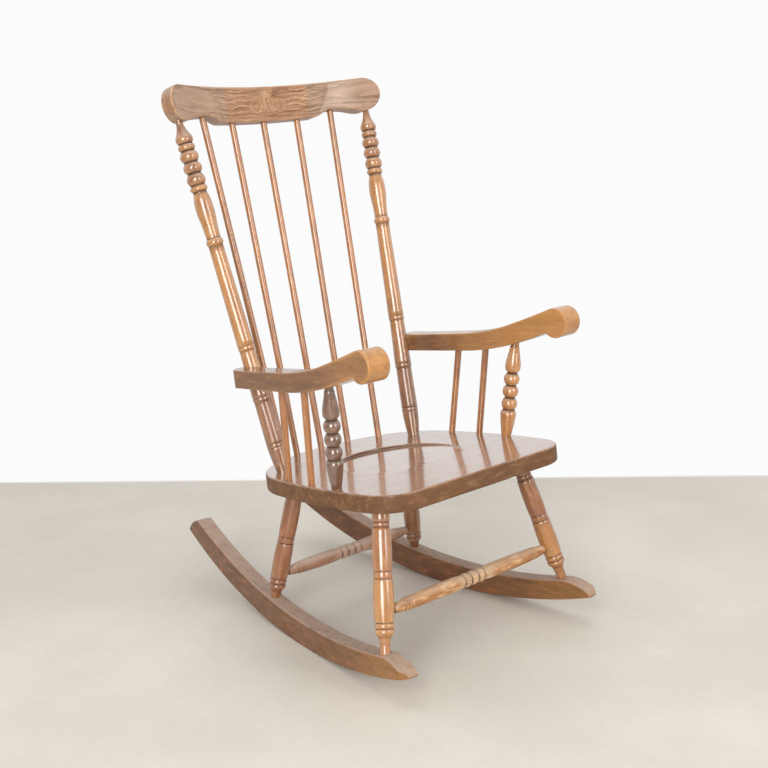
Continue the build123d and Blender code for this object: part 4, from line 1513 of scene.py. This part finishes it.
@dataclass
class BackPosts:
    """The two turned posts that carry the crest rail."""

    foot_x: float = 0.7244 * SEAT_HALF
    foot_v: float = 48.7
    splay: float = 65.6
    rake: float = 113.6
    rise: float = 736.0
    radius: float = 18.0
    foot_depth: float = 24.0
    head_depth: float = 24.0
    pattern_length: float = 748.8
    rings: Stations = ((57.0, 1.0), (157.0, 1.02), (266.0, 0.96))
    swell: Stations = ((520, 0.86), (560, 1.03), (580, 0.96), (594, 0.78))
    beads: tuple[float, ...] = (622.5, 646.0, 669.5)
    log: Triple = (4.2, 0.031, 0.022)
    tone: Stations = (
        (0, 1.0), (150, 0.8), (260, 0.25), (420, 0.0), (600, 0.15), (625, 0.5), (700, 0.6), (740, 0.9)
    )

    def profile(self, length: float) -> np.ndarray:
        """Turn three rings, a swell, three beads and a neck, from foot to head.

        Args:
            length: the post's length between the seat and the rail.

        Returns:
            The profile.
        """
        r, k = self.radius, length / self.pattern_length
        moves = [straight(4.0, 0.74 * r), sweep((20 * k, 0.86 * r), (52.4 * k, r))]
        for s, body in self.rings:
            moves += [
                straight((s - 4.0) * k, (body - 0.075) * r),
                straight((s - 3.2) * k, (body - 0.01) * r),
                rounded((s + 3.2) * k, (body - 0.01) * r, s * k, (body + 0.01) * r),
                straight((s + 4.0) * k, (body - 0.075) * r),
                straight((s + 4.8) * k, body * r),
            ]
        moves += [
            sweep((363 * k, 0.91 * r), (484 * k, 0.845 * r)),
            rounded(498 * k, 0.80 * r, 491 * k, 0.99 * r),
            sweep(*((s * k, share * r) for s, share in self.swell)),
            straight(597 * k, 0.78 * r),
            rounded(609.5 * k, 0.76 * r, 603 * k, 0.99 * r),
        ]
        for s in self.beads:
            moves += [rounded((s + 11) * k, 0.76 * r, s * k, 1.06 * r), straight((s + 12.5) * k, 0.76 * r)]
        moves += [
            rounded(696 * k, 0.74 * r, 690 * k, 0.96 * r),
            rounded(711 * k, 0.92 * r, 705 * k, r),
            sweep((722 * k, 0.62 * r), (735 * k, 0.42 * r), (length - 5, 0.372 * r)),
            straight(length + self.head_depth, 0.372 * r),
        ]
        return trace((-self.foot_depth, 0.74 * r), moves)

    def build(self, shop: Workshop) -> None:
        """Make both posts.

        Args:
            shop: where they are made.
        """
        foot = SEAT.point(self.foot_x, self.foot_v, 0)
        head = SEAT.point(self.foot_x + self.splay, self.foot_v + self.rake, self.rise)
        post = Turning(foot, head, self.profile(reach(foot, head)), self.log, tone=self.tone)
        shop.pair("back_post_{}", post.shape(), POST_WOOD)


def rod_profile(length: float, radius: float, low: float, high: float, wobble: float) -> np.ndarray:
    """A plain rod, very slightly uneven as hand-sanded ones are.

    Args:
        length: length between its sockets.
        radius: its radius.
        low: how far it goes into the lower socket.
        high: how far it goes into the upper socket.
        wobble: phase of its unevenness.

    Returns:
        The profile.
    """
    along = np.linspace(-low, length + high, 90)
    return np.column_stack([along, radius - 0.12 + 0.12 * np.sin(along / 37.0 + wobble)])


@dataclass
class BackSpindles:
    """Five plain rods between the seat and the crest rail."""

    radius: float = 7.2
    socket: float = 20.0
    facets: int = 24
    feet: Stations = ((130.81, 108.56), (71.7, 148.26), (0.0, 153.36))
    heads: tuple[float, ...] = (170.8, 86.8, 0.0)

    def build(self, shop: Workshop, crest: CrestRail) -> None:
        """Make the spindles from left to right.

        Args:
            shop: where they are made.
            crest: the rail that they reach.
        """
        order = [(0, Side.LEFT), (1, Side.LEFT), (2, Side.RIGHT), (1, Side.RIGHT), (0, Side.RIGHT)]
        for number, (which, side) in enumerate(order, start=1):
            (foot_x, foot_v), head_x = self.feet[which], self.heads[which]
            foot = SEAT.point(side.value * foot_x, foot_v, 0)
            edge = crest.waist if head_x > crest.tablet_half else -crest.tablet_drop
            spot = (side.value * head_x, edge, crest.thickness / 2)
            head = crest.place(*(np.array([value]) for value in spot))[0]
            profile = rod_profile(reach(foot, head), self.radius, self.socket, self.socket, number * 1.9)
            log = (5.0 + 0.9 * number, 0.012 + 0.003 * number, 0.008)
            spindle = Turning(foot, head, profile, log, self.facets)
            shop.fit(f"back_spindle_{number}", spindle.shape(), SPINDLE_WOOD)


# ---------------------------------------------------------------- arms
@dataclass
class Arms:
    """Sawn arms that swell forwards into a round scroll."""

    width: float = 49.0
    post_inset: float = 21.5
    thickness: float = 37.0
    height: float = 223.5
    spread: float = 280.8
    flare: float = math.radians(3.2)
    rear_v: float = 92.0
    rear_chamfer: float = 17.0
    scroll_radius: float = 30.5
    scroll_v: float = -355.8
    scroll_rise: float = 21.6
    scroll_steps: int = 30
    scroll_slope: float = math.radians(17)
    under: Stations = ((-262, 19.5), (-197, 7.6), (-137, 1.6), (-70, 0.6))
    over: Stations = ((-262, 26.5), (-200, 11.5), (-140, 3.6), (-65, 1.0), (20, -0.3))
    arris: float = 2.6
    edge_rows: tuple[float, ...] = (2.6, 4.5, 7.0, 11.0, 16.0, 21.5, 27.0, 32.5, 38.0, 42.0, 44.5, 46.4)
    log: Triple = (1.4, 0.055, 0.012)
    left_tone: Stations = ((-340, 1.0), (-300, 0.85), (-220, 0.45), (-120, 0.15), (0, 0.0))
    left_face: float = 0.45
    right_tone: Stations = ((-340, 1.0), (-220, 0.85), (-120, 0.55), (-20, 0.3), (0, 0.3))
    right_face: float = 0.9

    @property
    def face_x(self) -> float:
        """Outer face at v = 0."""
        return self.spread + self.scroll_v * math.tan(self.flare)

    def line_x(self, v: float) -> float:
        """Line of the posts and rods under the arm, in the seat frame."""
        return self.face_x - v * math.tan(self.flare) - self.post_inset / math.cos(self.flare)

    def underside(self, v: float) -> float:
        """Height of the arm's underside over the seat."""
        table = ((-331, 39.0), *self.under, (0, 0.0), (120, 0.0))
        return self.height - self.thickness + float(between(v, table))

    def rails(self) -> Pair:
        """Draw the arm's side view from its scroll to its rear.

        Returns:
            Lower and upper edge, as (v, height over the arm's rear top).
        """
        centre = (self.scroll_v, self.scroll_rise)
        start = (math.cos(self.scroll_slope), -math.sin(self.scroll_slope))
        under = [(v, -self.thickness + h) for v, h in self.under]
        edges = []
        for turn, knots, rear in ((320, under, -self.thickness), (73, self.over, 0.0)):
            scroll = arc(centre, self.scroll_radius, 180, turn, self.scroll_steps)
            curve = sweep_curve(np.array([scroll[-1], *knots, (self.rear_v, rear)]), 40, start, (1, 0))
            edges.append(np.vstack([scroll[:-1], resampled(curve, 90)]))
        return edges[0], edges[1]

    def place(self, v: np.ndarray, h: np.ndarray, depth: np.ndarray) -> np.ndarray:
        """Put the arm's side view into the chair; depth runs inwards from the outer face.

        Args:
            v: place along the arm.
            h: height over the arm's rear top.
            depth: distance inwards from the outer face.

        Returns:
            Points in millimetres.
        """
        c, s = math.cos(self.flare), math.sin(self.flare)
        cut = np.clip(self.rear_chamfer - (self.rear_v - v) - depth, 0, None) / 2
        v, depth = v - cut, depth + cut
        return SEAT.point(self.face_x - v * s - depth * c, v * c - depth * s, self.height + h)

    def shape(self, tone: Stations, face_tone: float) -> Shape:
        """Build a right arm with its own play of tones.

        Args:
            tone: share of the second tone along the arm.
            face_tone: how much of it the flat sides take.

        Returns:
            The arm.
        """
        board = Board(*self.rails(), self.width, self.arris, 9, self.edge_rows, self.log, tone, face_tone)
        return board.shape(self.place)

    def build(self, shop: Workshop) -> None:
        """Make both arms."""
        shop.fit("arm_left", mirrored(self.shape(self.left_tone, self.left_face), 0.47), ARM_WOOD)
        shop.fit("arm_right", self.shape(self.right_tone, self.right_face), ARM_WOOD)


@dataclass
class ArmPosts:
    """The turned baluster under the front of each arm."""

    foot_x: float = 0.9224 * SEAT_HALF
    foot_v: float = -191.2
    head_v: float = -228.5
    radius: float = 16.75
    foot_depth: float = 22.0
    head_depth: float = 16.0
    beads: tuple[float, ...] = (73.9, 100.4, 126.8)
    pattern_length: float = 203.2
    log: Triple = (7.7, 0.024, 0.03)

    def profile(self, length: float) -> np.ndarray:
        """Turn a vase, three beads and a neck, from foot to head.

        Args:
            length: the baluster's length between the seat and the arm.

        Returns:
            The profile.
        """
        r, k = self.radius, length / self.pattern_length
        vase = ((20 * k, 0.78 * r), (42 * k, 0.96 * r), (54 * k, 0.985 * r), (61 * k, 0.70 * r))
        moves = [straight(3, 0.615 * r), sweep(*vase)]
        for s in self.beads:
            moves += [rounded((s + 12.2) * k, 0.62 * r, s * k, r), straight((s + 13.6) * k, 0.62 * r)]
        neck = ((147 * k, 0.92 * r), (155 * k, 0.97 * r), (175 * k, 0.80 * r), (190 * k, 0.63 * r))
        moves += [
            sweep(*neck, (length - 7.5, 0.60 * r)),
            straight(length - 6, 0.52 * r),
            straight(length + self.head_depth, 0.52 * r),
        ]
        return trace((-self.foot_depth, 0.615 * r), moves)

    def build(self, shop: Workshop, arms: Arms) -> None:
        """Make both balusters.

        Args:
            shop: where they are made.
            arms: the arms that they carry.
        """
        foot = SEAT.point(self.foot_x, self.foot_v, 0)
        head = SEAT.point(arms.line_x(self.head_v), self.head_v, arms.underside(self.head_v))
        right = Turning(foot, head, self.profile(reach(foot, head)), self.log).shape()
        shop.pair("arm_post_{}", right, POST_WOOD, ARM_POST_WOOD)


@dataclass
class ArmSpindles:
    """Two plain rods under each arm."""

    radius: float = 7.2
    seat_socket: float = 20.0
    arm_socket: float = 16.0
    facets: int = 24
    places: dict[str, Triple] = field(
        default_factory=lambda: {
            "rear": (0.8992 * SEAT_HALF, -30.9, -65.6),
            "front": (0.9193 * SEAT_HALF, -111.8, -144.5),
        }
    )

    def build(self, shop: Workshop, arms: Arms) -> None:
        """Make the four rods.

        Args:
            shop: where they are made.
            arms: the arms that they carry.
        """
        for number, (word, (foot_x, foot_v, head_v)) in enumerate(self.places.items()):
            foot = SEAT.point(foot_x, foot_v, 0)
            head = SEAT.point(arms.line_x(head_v), head_v, arms.underside(head_v))
            length = reach(foot, head)
            profile = rod_profile(length, self.radius, self.seat_socket, self.arm_socket, 2.7 + number)
            spindle = Turning(foot, head, profile, (9.1 + number, 0.014, 0.011), self.facets)
            shop.pair("arm_spindle_{}_" + word, spindle.shape(), SPINDLE_WOOD)


# ---------------------------------------------------------------- rockers and legs
@dataclass
class Rockers:
    """Toed-out runners on a true arc, thinner towards the nose."""

    front_foot_y: float
    rear_foot_y: float
    radius: float = 1120.0
    top_radius: float = 1195.0
    height: float = 52.4
    top_y: float = -17.0
    balance_y: float = 8.0
    width: float = 36.0
    spread: float = 217.5
    toe: float = math.radians(6.69)
    front_reach: float = 81.0
    nose: float = 74.0
    nose_fall: float = 38.0
    bevel_width: float = 14.0
    bevel_length: float = 16.0
    rear_reach: float = 367.8
    rear_cut: float = 50.0
    rear_bulge: float = 8.0
    arris: float = 3.0
    top_ribs: int = 120
    tail_ribs: int = 22
    edge_rows: tuple[float, ...] = (3.0, 5.0, 8.5, 13.0, 18.0, 23.0, 27.5, 31.0, 33.0)
    log: Triple = (6.3, 0.09, 0.02)
    tone: Stations = ((30, 1.0), (160, 0.5), (330, 0.25), (600, 0.1))

    @property
    def tip(self) -> float:
        """Place of the rocker's front end."""
        return self.front_foot_y / math.cos(self.toe) - self.front_reach

    def low(self, q: Mark) -> np.ndarray:
        """Height of the running edge."""
        return self.radius - np.sqrt(self.radius**2 - (q - self.balance_y) ** 2)

    def high(self, q: Mark) -> np.ndarray:
        """Height of the top edge."""
        return self.height + self.top_radius - np.sqrt(self.top_radius**2 - (q - self.top_y) ** 2)

    def point(self, y: float) -> np.ndarray:
        """Point on the right rocker's top, in its mid plane, before the footprint shift."""
        q = y / math.cos(self.toe)
        return np.array([self.spread - q * math.sin(self.toe), y, float(self.high(q))])

    def place(self, q: np.ndarray, h: np.ndarray, depth: np.ndarray) -> np.ndarray:
        """Put the rocker's side view into the chair; depth runs inwards.

        Args:
            q: place along the rocker.
            h: height over the floor.
            depth: distance inwards from the outer face.

        Returns:
            Points in millimetres.
        """
        c, s = math.cos(self.toe), math.sin(self.toe)
        bevel = self.bevel_width * (1 - (q - self.tip) / self.bevel_length)
        across = self.width / 2 - np.maximum(depth, bevel)
        return np.stack([self.spread - q * s + across * c, q * c + across * s + FOOTPRINT_SHIFT, h], axis=-1)

    def top_edge(self, tail: float) -> tuple[np.ndarray, int]:
        """Draw the rounded nose, the top arc and the bulging tail.

        Args:
            tail: place of the rocker's rear end.

        Returns:
            The edge, and the number of its points over the nose.
        """
        tip, nose = self.tip, self.tip + self.nose
        slope = math.asin((self.top_y - nose) / self.top_radius)
        crown = float(self.high(nose))
        knots = np.array([(tip, float(self.low(tip))), (tip + self.nose_fall, crown - 1.0), (nose, crown)])
        over = sweep_curve(knots, 18, (0.5, 1.0), (math.cos(slope), -math.sin(slope)))
        along = np.linspace(nose, tail - self.rear_cut, self.top_ribs)[1:]
        top = np.column_stack([along, self.high(along)])
        end = np.array([tail, float(self.low(tail))])
        chord = end - top[-1]
        bulge = (top[-1] + end) / 2 + unit(np.array([-chord[1], chord[0]])) * self.rear_bulge * 0.97
        round_end = resampled(round_cut(top[-1], bulge, end), self.tail_ribs)[1:]
        return np.vstack([over, top, round_end]), len(over)

    def rails(self) -> Pair:
        """Match the running edge to the top edge, from the nose to the tail.

        Returns:
            Running edge and top edge.
        """
        tail = self.rear_foot_y / math.cos(self.toe) + self.rear_reach
        high, nose_ribs = self.top_edge(tail)
        under_nose = self.tip + self.nose * 0.9 * (1 - np.cos(np.linspace(0, math.pi / 2, nose_ribs)))
        under = np.linspace(under_nose[-1], tail - self.rear_cut * 0.7, self.top_ribs)[1:]
        under_tail = np.linspace(under[-1], tail, self.tail_ribs)[1:]
        along = np.concatenate([under_nose, under, under_tail])
        return np.column_stack([along, self.low(along)]), high

    def build(self, shop: Workshop) -> None:
        """Make both rockers.

        Args:
            shop: where they are made.
        """
        tone = tuple((self.tip + behind, share) for behind, share in self.tone)
        board = Board(*self.rails(), self.width, self.arris, 9, self.edge_rows, self.log, tone)
        shop.pair("rocker_{}", board.shape(self.place), ROCKER_WOOD, log_shift=0.63)


@dataclass(frozen=True)
class LegSize:
    """What sets the front and the rear legs apart; the spot is the top's x and v under the seat."""

    radius: float
    neck: float
    collar: float
    spot: tuple[float, float]
    rake: float
    tone: Stations
    left_wood: WoodFinish


@dataclass
class Legs:
    """Four turned legs between the seat and the rockers."""

    sizes: dict[str, LegSize] = field(
        default_factory=lambda: {
            "front": LegSize(
                19.75, 35.0, 42.0, (0.7492 * SEAT_HALF, 101.0 - 0.687 * SEAT_DEPTH), -67.5,
                ((0, 0.3), (60, 1.0), (130, 0.6), (160, 0.0)), LEG_WOOD,
            ),
            "rear": LegSize(
                18.75, 20.0, 20.0, (0.6102 * SEAT_HALF, 0.313 * SEAT_DEPTH - 117.2), 33.6,
                ((0, 0.0),), SHADED_LEG_WOOD,
            ),
        }
    )
    foot_tenon: float = 10.0
    foot_depth: float = 22.0
    head_tenon: float = 13.5
    head_depth: float = 24.0

    def head(self, word: str, seat: Seat) -> np.ndarray:
        """Top of a right leg on the seat's underside, before the footprint shift."""
        return SEAT.point(*self.sizes[word].spot, -seat.thickness) - np.array([0, FOOTPRINT_SHIFT, 0])

    def profile(self, length: float, size: LegSize) -> np.ndarray:
        """Turn a foot, a ringed shank and a collar, from foot to head.

        Args:
            length: the leg's length between the rocker and the seat.
            size: the front or the rear leg's own sizes.

        Returns:
            The profile.
        """
        r, n = size.radius, size.neck
        top = length - size.collar
        moves = [
            straight(n - 17, self.foot_tenon),
            sweep((n - 10, 0.58 * r), (n - 4, 0.68 * r), (n - 0.5, 0.80 * r)),
            straight(n + 1, 0.87 * r),
            rounded(n + 9.5, 0.87 * r, n + 5.2, 0.955 * r),
            straight(n + 10.6, 0.81 * r),
            straight(n + 11.6, 0.88 * r),
            rounded(n + 20.5, 0.88 * r, n + 16, 0.955 * r),
            straight(n + 21.8, 0.80 * r),
            straight(n + 23.2, 0.925 * r),
            sweep((n + 35, 0.965 * r), (n + 55, r), (n + 80, 0.99 * r), (n + 101.5, 0.94 * r)),
            straight(n + 103.2, 0.83 * r),
            straight(n + 104.8, 0.89 * r),
            rounded(n + 115.2, 0.89 * r, n + 110, 0.91 * r),
            straight(n + 116.8, 0.83 * r),
            straight(n + 118.4, 0.92 * r),
            sweep((n + 132, 0.95 * r), (n + 155, 0.96 * r), (top - 2, 0.89 * r)),
            straight(top, 0.75 * r),
            straight(top + 1.4, 0.78 * r),
            rounded(top + 8.4, 0.78 * r, top + 4.9, 0.82 * r),
            straight(top + 9.6, 0.75 * r),
            straight(top + 11, 0.84 * r),
            straight(length - 7, 0.87 * r),
            straight(length - 6, self.head_tenon),
            straight(length + self.head_depth, self.head_tenon),
        ]
        return trace((-self.foot_depth, self.foot_tenon), moves)

    def build(self, shop: Workshop, lines: dict[str, Pair]) -> None:
        """Make the four legs.

        Args:
            shop: where they are made.
            lines: foot and head of the front and the rear leg on the right.
        """
        for number, (word, (foot, head)) in enumerate(lines.items()):
            size = self.sizes[word]
            profile = self.profile(reach(foot, head), size)
            right = Turning(foot, head, profile, (8.2 + number, 0.03, 0.019), tone=size.tone).shape()
            right = right.moved(np.array([0, FOOTPRINT_SHIFT, 0]))
            # The right legs take the darker copy, painted shade, as does the rear left leg.
            shop.pair(f"leg_{word}_{{}}", right, SHADED_LEG_WOOD, size.left_wood)


@dataclass
class Stretchers:
    """Turned rails between the front legs and between the rear legs."""

    radius: float = 14.5
    tenon: float = 6.5
    socket: float = 14.0
    tone: Stations = ((-60, 0.0), (-34, 1.0), (34, 1.0), (60, 0.0))
    kinds: dict[str, tuple[float, WoodFinish]] = field(
        default_factory=lambda: {"front": (75.0, STRETCHER_WOOD), "rear": (50.0, REAR_STRETCHER_WOOD)}
    )

    def profile(self, half: float, leg_radius: float) -> np.ndarray:
        """Turn one half, from the middle beads out to the tenon, and mirror it.

        Args:
            half: distance from the middle to the leg's axis.
            leg_radius: radius of the leg.

        Returns:
            The whole rail's profile.
        """
        r = self.radius
        body = half - leg_radius + 0.5
        moves = [
            rounded(9, 0.78 * r, 5.5, 0.91 * r),
            straight(10, 0.72 * r),
            straight(11, 0.80 * r),
            rounded(27, 0.80 * r, 19, 0.98 * r),
            straight(28.5, 0.72 * r),
            straight(30, 0.87 * r),
            sweep((45, 0.97 * r), (75, r), (0.6 * body, 0.98 * r), (body - 43, 0.90 * r)),
            straight(body - 42, 0.83 * r),
            rounded(body - 36, 0.84 * r, body - 39, 0.91 * r),
            straight(body - 35, 0.80 * r),
            rounded(body - 29, 0.80 * r, body - 32, 0.88 * r),
            straight(body - 28, 0.76 * r),
            sweep((body - 14, 0.70 * r), (body - 5, 0.60 * r)),
            straight(body - 4.2, 0.58 * r),
            straight(body - 3.4, self.tenon),
            straight(half - leg_radius + self.socket, self.tenon),
        ]
        right = trace((0.0, 0.95 * r), moves)
        return np.vstack([right[:0:-1] * (-1, 1), right])

    def build(self, shop: Workshop, lines: dict[str, Pair], legs: Legs) -> None:
        """Make both rails.

        Args:
            shop: where they are made.
            lines: foot and head of the front and the rear leg on the right.
            legs: the legs that they join.
        """
        for number, (word, (foot, head)) in enumerate(lines.items()):
            up, wood = self.kinds[word]
            joint = foot + unit(head - foot) * up
            middle = np.array([0.0, joint[1] + FOOTPRINT_SHIFT, joint[2]])
            profile = self.profile(float(joint[0]), legs.sizes[word].radius)
            log = (12.5 + number, 0.021, 0.017)
            rail = Turning(middle, middle + np.array([1.0, 0, 0]), profile, log, tone=self.tone)
            shop.fit(f"{word}_stretcher", rail.shape(), wood)


# ---------------------------------------------------------------- studio
@dataclass(frozen=True)
class Lamp:
    """A soft rectangular lamp: places in metres, power in watts, spread in degrees."""

    name: str
    place: Triple
    aim: Triple
    size: tuple[float, float]
    power: float
    spread: float
    colour: Triple = (1.0, 0.987, 0.965)

    def hang(self) -> None:
        """Hang the lamp and turn it to its aim."""
        data = bpy.data.lights.new(self.name, "AREA")
        data.shape = "RECTANGLE"
        data.size, data.size_y = self.size
        data.energy = self.power
        data.spread = math.radians(self.spread)
        data.color = self.colour
        lamp = bpy.data.objects.new(self.name, data)
        lamp.location = self.place
        lamp.rotation_euler = (Vector(self.aim) - Vector(self.place)).to_track_quat("-Z", "Y").to_euler()
        bpy.context.scene.collection.objects.link(lamp)


@dataclass
class Studio:
    """Camera, pale floor and soft daylight; the wall line is where the floor turns into the backdrop."""

    camera_place: Triple = (-1.6448, -1.9780, 1.1153)
    yaw: float = 40.97
    pitch: float = -13.55
    roll: float = -2.19
    focal_share: float = 1250.0 / 768.0
    sensor: float = 36.0
    floor_half: float = 14.0
    floor_colours: tuple[Colour, Colour] = ((212, 206, 195), (226, 220, 209))
    wall_line: Stations = ((-0.182, 1.468), (1.362, -0.149))
    wall_blur: float = 0.012
    white: float = 0.97
    room_side: Triple = (0.66, 0.75, 0.0)
    lamps: tuple[Lamp, ...] = (
        Lamp("left window", (-2.6, -1.95, 1.7), (0, 0, 0.6), (1.1, 2.2), 24.0, 100.0),
        Lamp("front window", (0.5, -3.1, 1.7), (0, 0, 0.6), (0.8, 2.2), 11.0, 100.0),
        Lamp("ceiling", (0.0, 0.2, 3.4), (0, 0, 0.4), (3.2, 3.2), 27.0, 180.0),
    )

    def camera(self) -> None:
        """Set the camera."""
        data = bpy.data.cameras.new("camera")
        data.sensor_width = self.sensor
        data.lens = self.focal_share * data.sensor_width
        view = bpy.data.objects.new("camera", data)
        turn = Matrix.Rotation(-math.radians(self.yaw), 4, "Z")
        turn = turn @ Matrix.Rotation(math.radians(90 + self.pitch), 4, "X")
        turn = turn @ Matrix.Rotation(math.radians(self.roll), 4, "Z")
        view.matrix_world = Matrix.Translation(Vector(self.camera_place)) @ turn
        bpy.context.scene.collection.objects.link(view)
        bpy.context.scene.camera = view

    def screed(self, g: Graph, place: Socket) -> Socket:
        """Pale, slightly cloudy screed.

        Args:
            g: the floor material's graph.
            place: where on the floor a point lies.

        Returns:
            The shader.
        """
        clouds = g.noise(place, (2.2, 2.2, 2.2), 5.0, 0.6)
        specks = g.noise(place, (60.0, 60.0, 60.0), 4.0, 0.6)
        tone = g.add_share(specks, 0.25, g.math("MULTIPLY", clouds, 0.9), clamp=True)
        dark, light = self.floor_colours
        colour = g.blend(g.step(tone, 0.35, 0.85), paint(dark), paint(light))
        bump = g.bump(0.25, 0.001, specks)
        values = {"Base Color": colour, "Roughness": 0.62, "Normal": bump, "Specular IOR Level": 0.3}
        return g.add("ShaderNodeBsdfPrincipled", values).outputs[0]

    def backdrop(self, g: Graph) -> Socket:
        """A wall that the camera sees as white and that lights nothing.

        Args:
            g: the floor material's graph.

        Returns:
            The shader.
        """
        rubbed_and_highlit = g.add("ShaderNodeEmission", {"Color": (1, 1, 1, 1), "Strength": self.white}).outputs[0]
        values = {"Base Color": (0.9, 0.9, 0.9, 1), "Roughness": 0.9}
        plain = g.add("ShaderNodeBsdfPrincipled", values).outputs[0]
        seen = g.add("ShaderNodeLightPath").outputs["Is Camera Ray"]
        return g.add("ShaderNodeMixShader", {0: seen, 1: plain, 2: rubbed_and_highlit}).outputs[0]

    def floor(self) -> None:
        """Lay a pale floor that turns into a white backdrop behind the chair."""
        half = self.floor_half
        mesh = bpy.data.meshes.new("floor")
        corners = [(-half, -half, 0), (half, -half, 0), (half, half, 0), (-half, half, 0)]
        mesh.from_pydata(corners, [], [(0, 1, 2, 3)])
        ground = bpy.data.objects.new("floor", mesh)
        bpy.context.scene.collection.objects.link(ground)
        made = bpy.data.materials.new("pale screed")
        g = bare(made)
        place = g.add("ShaderNodeTexCoord").outputs["Object"]
        start, end = (Vector((*corner, 0)) for corner in self.wall_line)
        along = (end - start).normalized()
        beyond = (-along.y, along.x, 0)
        offset = g.vector_math("DOT_PRODUCT", g.vector_math("SUBTRACT", place, tuple(start)), beyond)
        edge = g.step(offset, -self.wall_blur, self.wall_blur)
        shaders = {0: edge, 1: self.screed(g, place), 2: self.backdrop(g)}
        whole = g.add("ShaderNodeMixShader", shaders).outputs[0]
        g.add("ShaderNodeOutputMaterial", {"Surface": whole})
        mesh.materials.append(made)

    def world(self) -> None:
        """Light the room softly, and show white to the camera and in reflections."""
        made = bpy.data.worlds.new("room")
        g = bare(made)
        facing = g.add("ShaderNodeTexCoord").outputs["Generated"]
        toward_wall = g.vector_math("DOT_PRODUCT", facing, self.room_side)
        shade = g.blend(g.step(toward_wall, -0.7, 0.5), (0.2, 0.195, 0.19, 1), (0.98, 0.98, 0.98, 1))
        path = g.add("ShaderNodeLightPath").outputs
        looks = (((0.58, 0.58, 0.585, 1), 1.0), (shade, 1.0), ((1, 1, 1, 1), self.white))
        soft, mirror, white = (
            g.add("ShaderNodeBackground", {"Color": colour, "Strength": strength}).outputs[0]
            for colour, strength in looks
        )
        first = g.add("ShaderNodeMixShader", {0: path["Is Glossy Ray"], 1: soft, 2: mirror}).outputs[0]
        second = g.add("ShaderNodeMixShader", {0: path["Is Camera Ray"], 1: first, 2: white}).outputs[0]
        g.add("ShaderNodeOutputWorld", {"Surface": second})
        bpy.context.scene.world = made

    def build(self) -> None:
        """Set up the studio."""
        self.camera()
        self.floor()
        self.world()
        for lamp in self.lamps:
            lamp.hang()
        bpy.context.scene.view_settings.view_transform = "Standard"


def main() -> None:
    """Build the chair, piece by piece, and its studio."""
    logging.basicConfig(level=logging.INFO, format="%(message)s")
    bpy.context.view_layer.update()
    shop = Workshop()
    seat, crest, arms, legs = Seat(), CrestRail(), Arms(), Legs()
    heads = {word: legs.head(word, seat) for word in legs.sizes}
    feet = {word: float(head[1]) + legs.sizes[word].rake for word, head in heads.items()}
    rockers = Rockers(feet["front"], feet["rear"])
    lines = {word: (rockers.point(feet[word]), head) for word, head in heads.items()}
    seat.build(shop)
    crest.build(shop)
    BackPosts().build(shop)
    BackSpindles().build(shop, crest)
    arms.build(shop)
    ArmPosts().build(shop, arms)
    ArmSpindles().build(shop, arms)
    rockers.build(shop)
    legs.build(shop, lines)
    Stretchers().build(shop, lines, legs)
    steel = SteelFinish().material()
    for side in Side:
        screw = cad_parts[f"arm_screw_{side.word}"]
        screw.data.materials.clear()
        screw.data.materials.append(steel)
        LOG.info("%s keeps its own shape", screw.name)
    Studio().build()


if __name__ == "__main__":
    main()
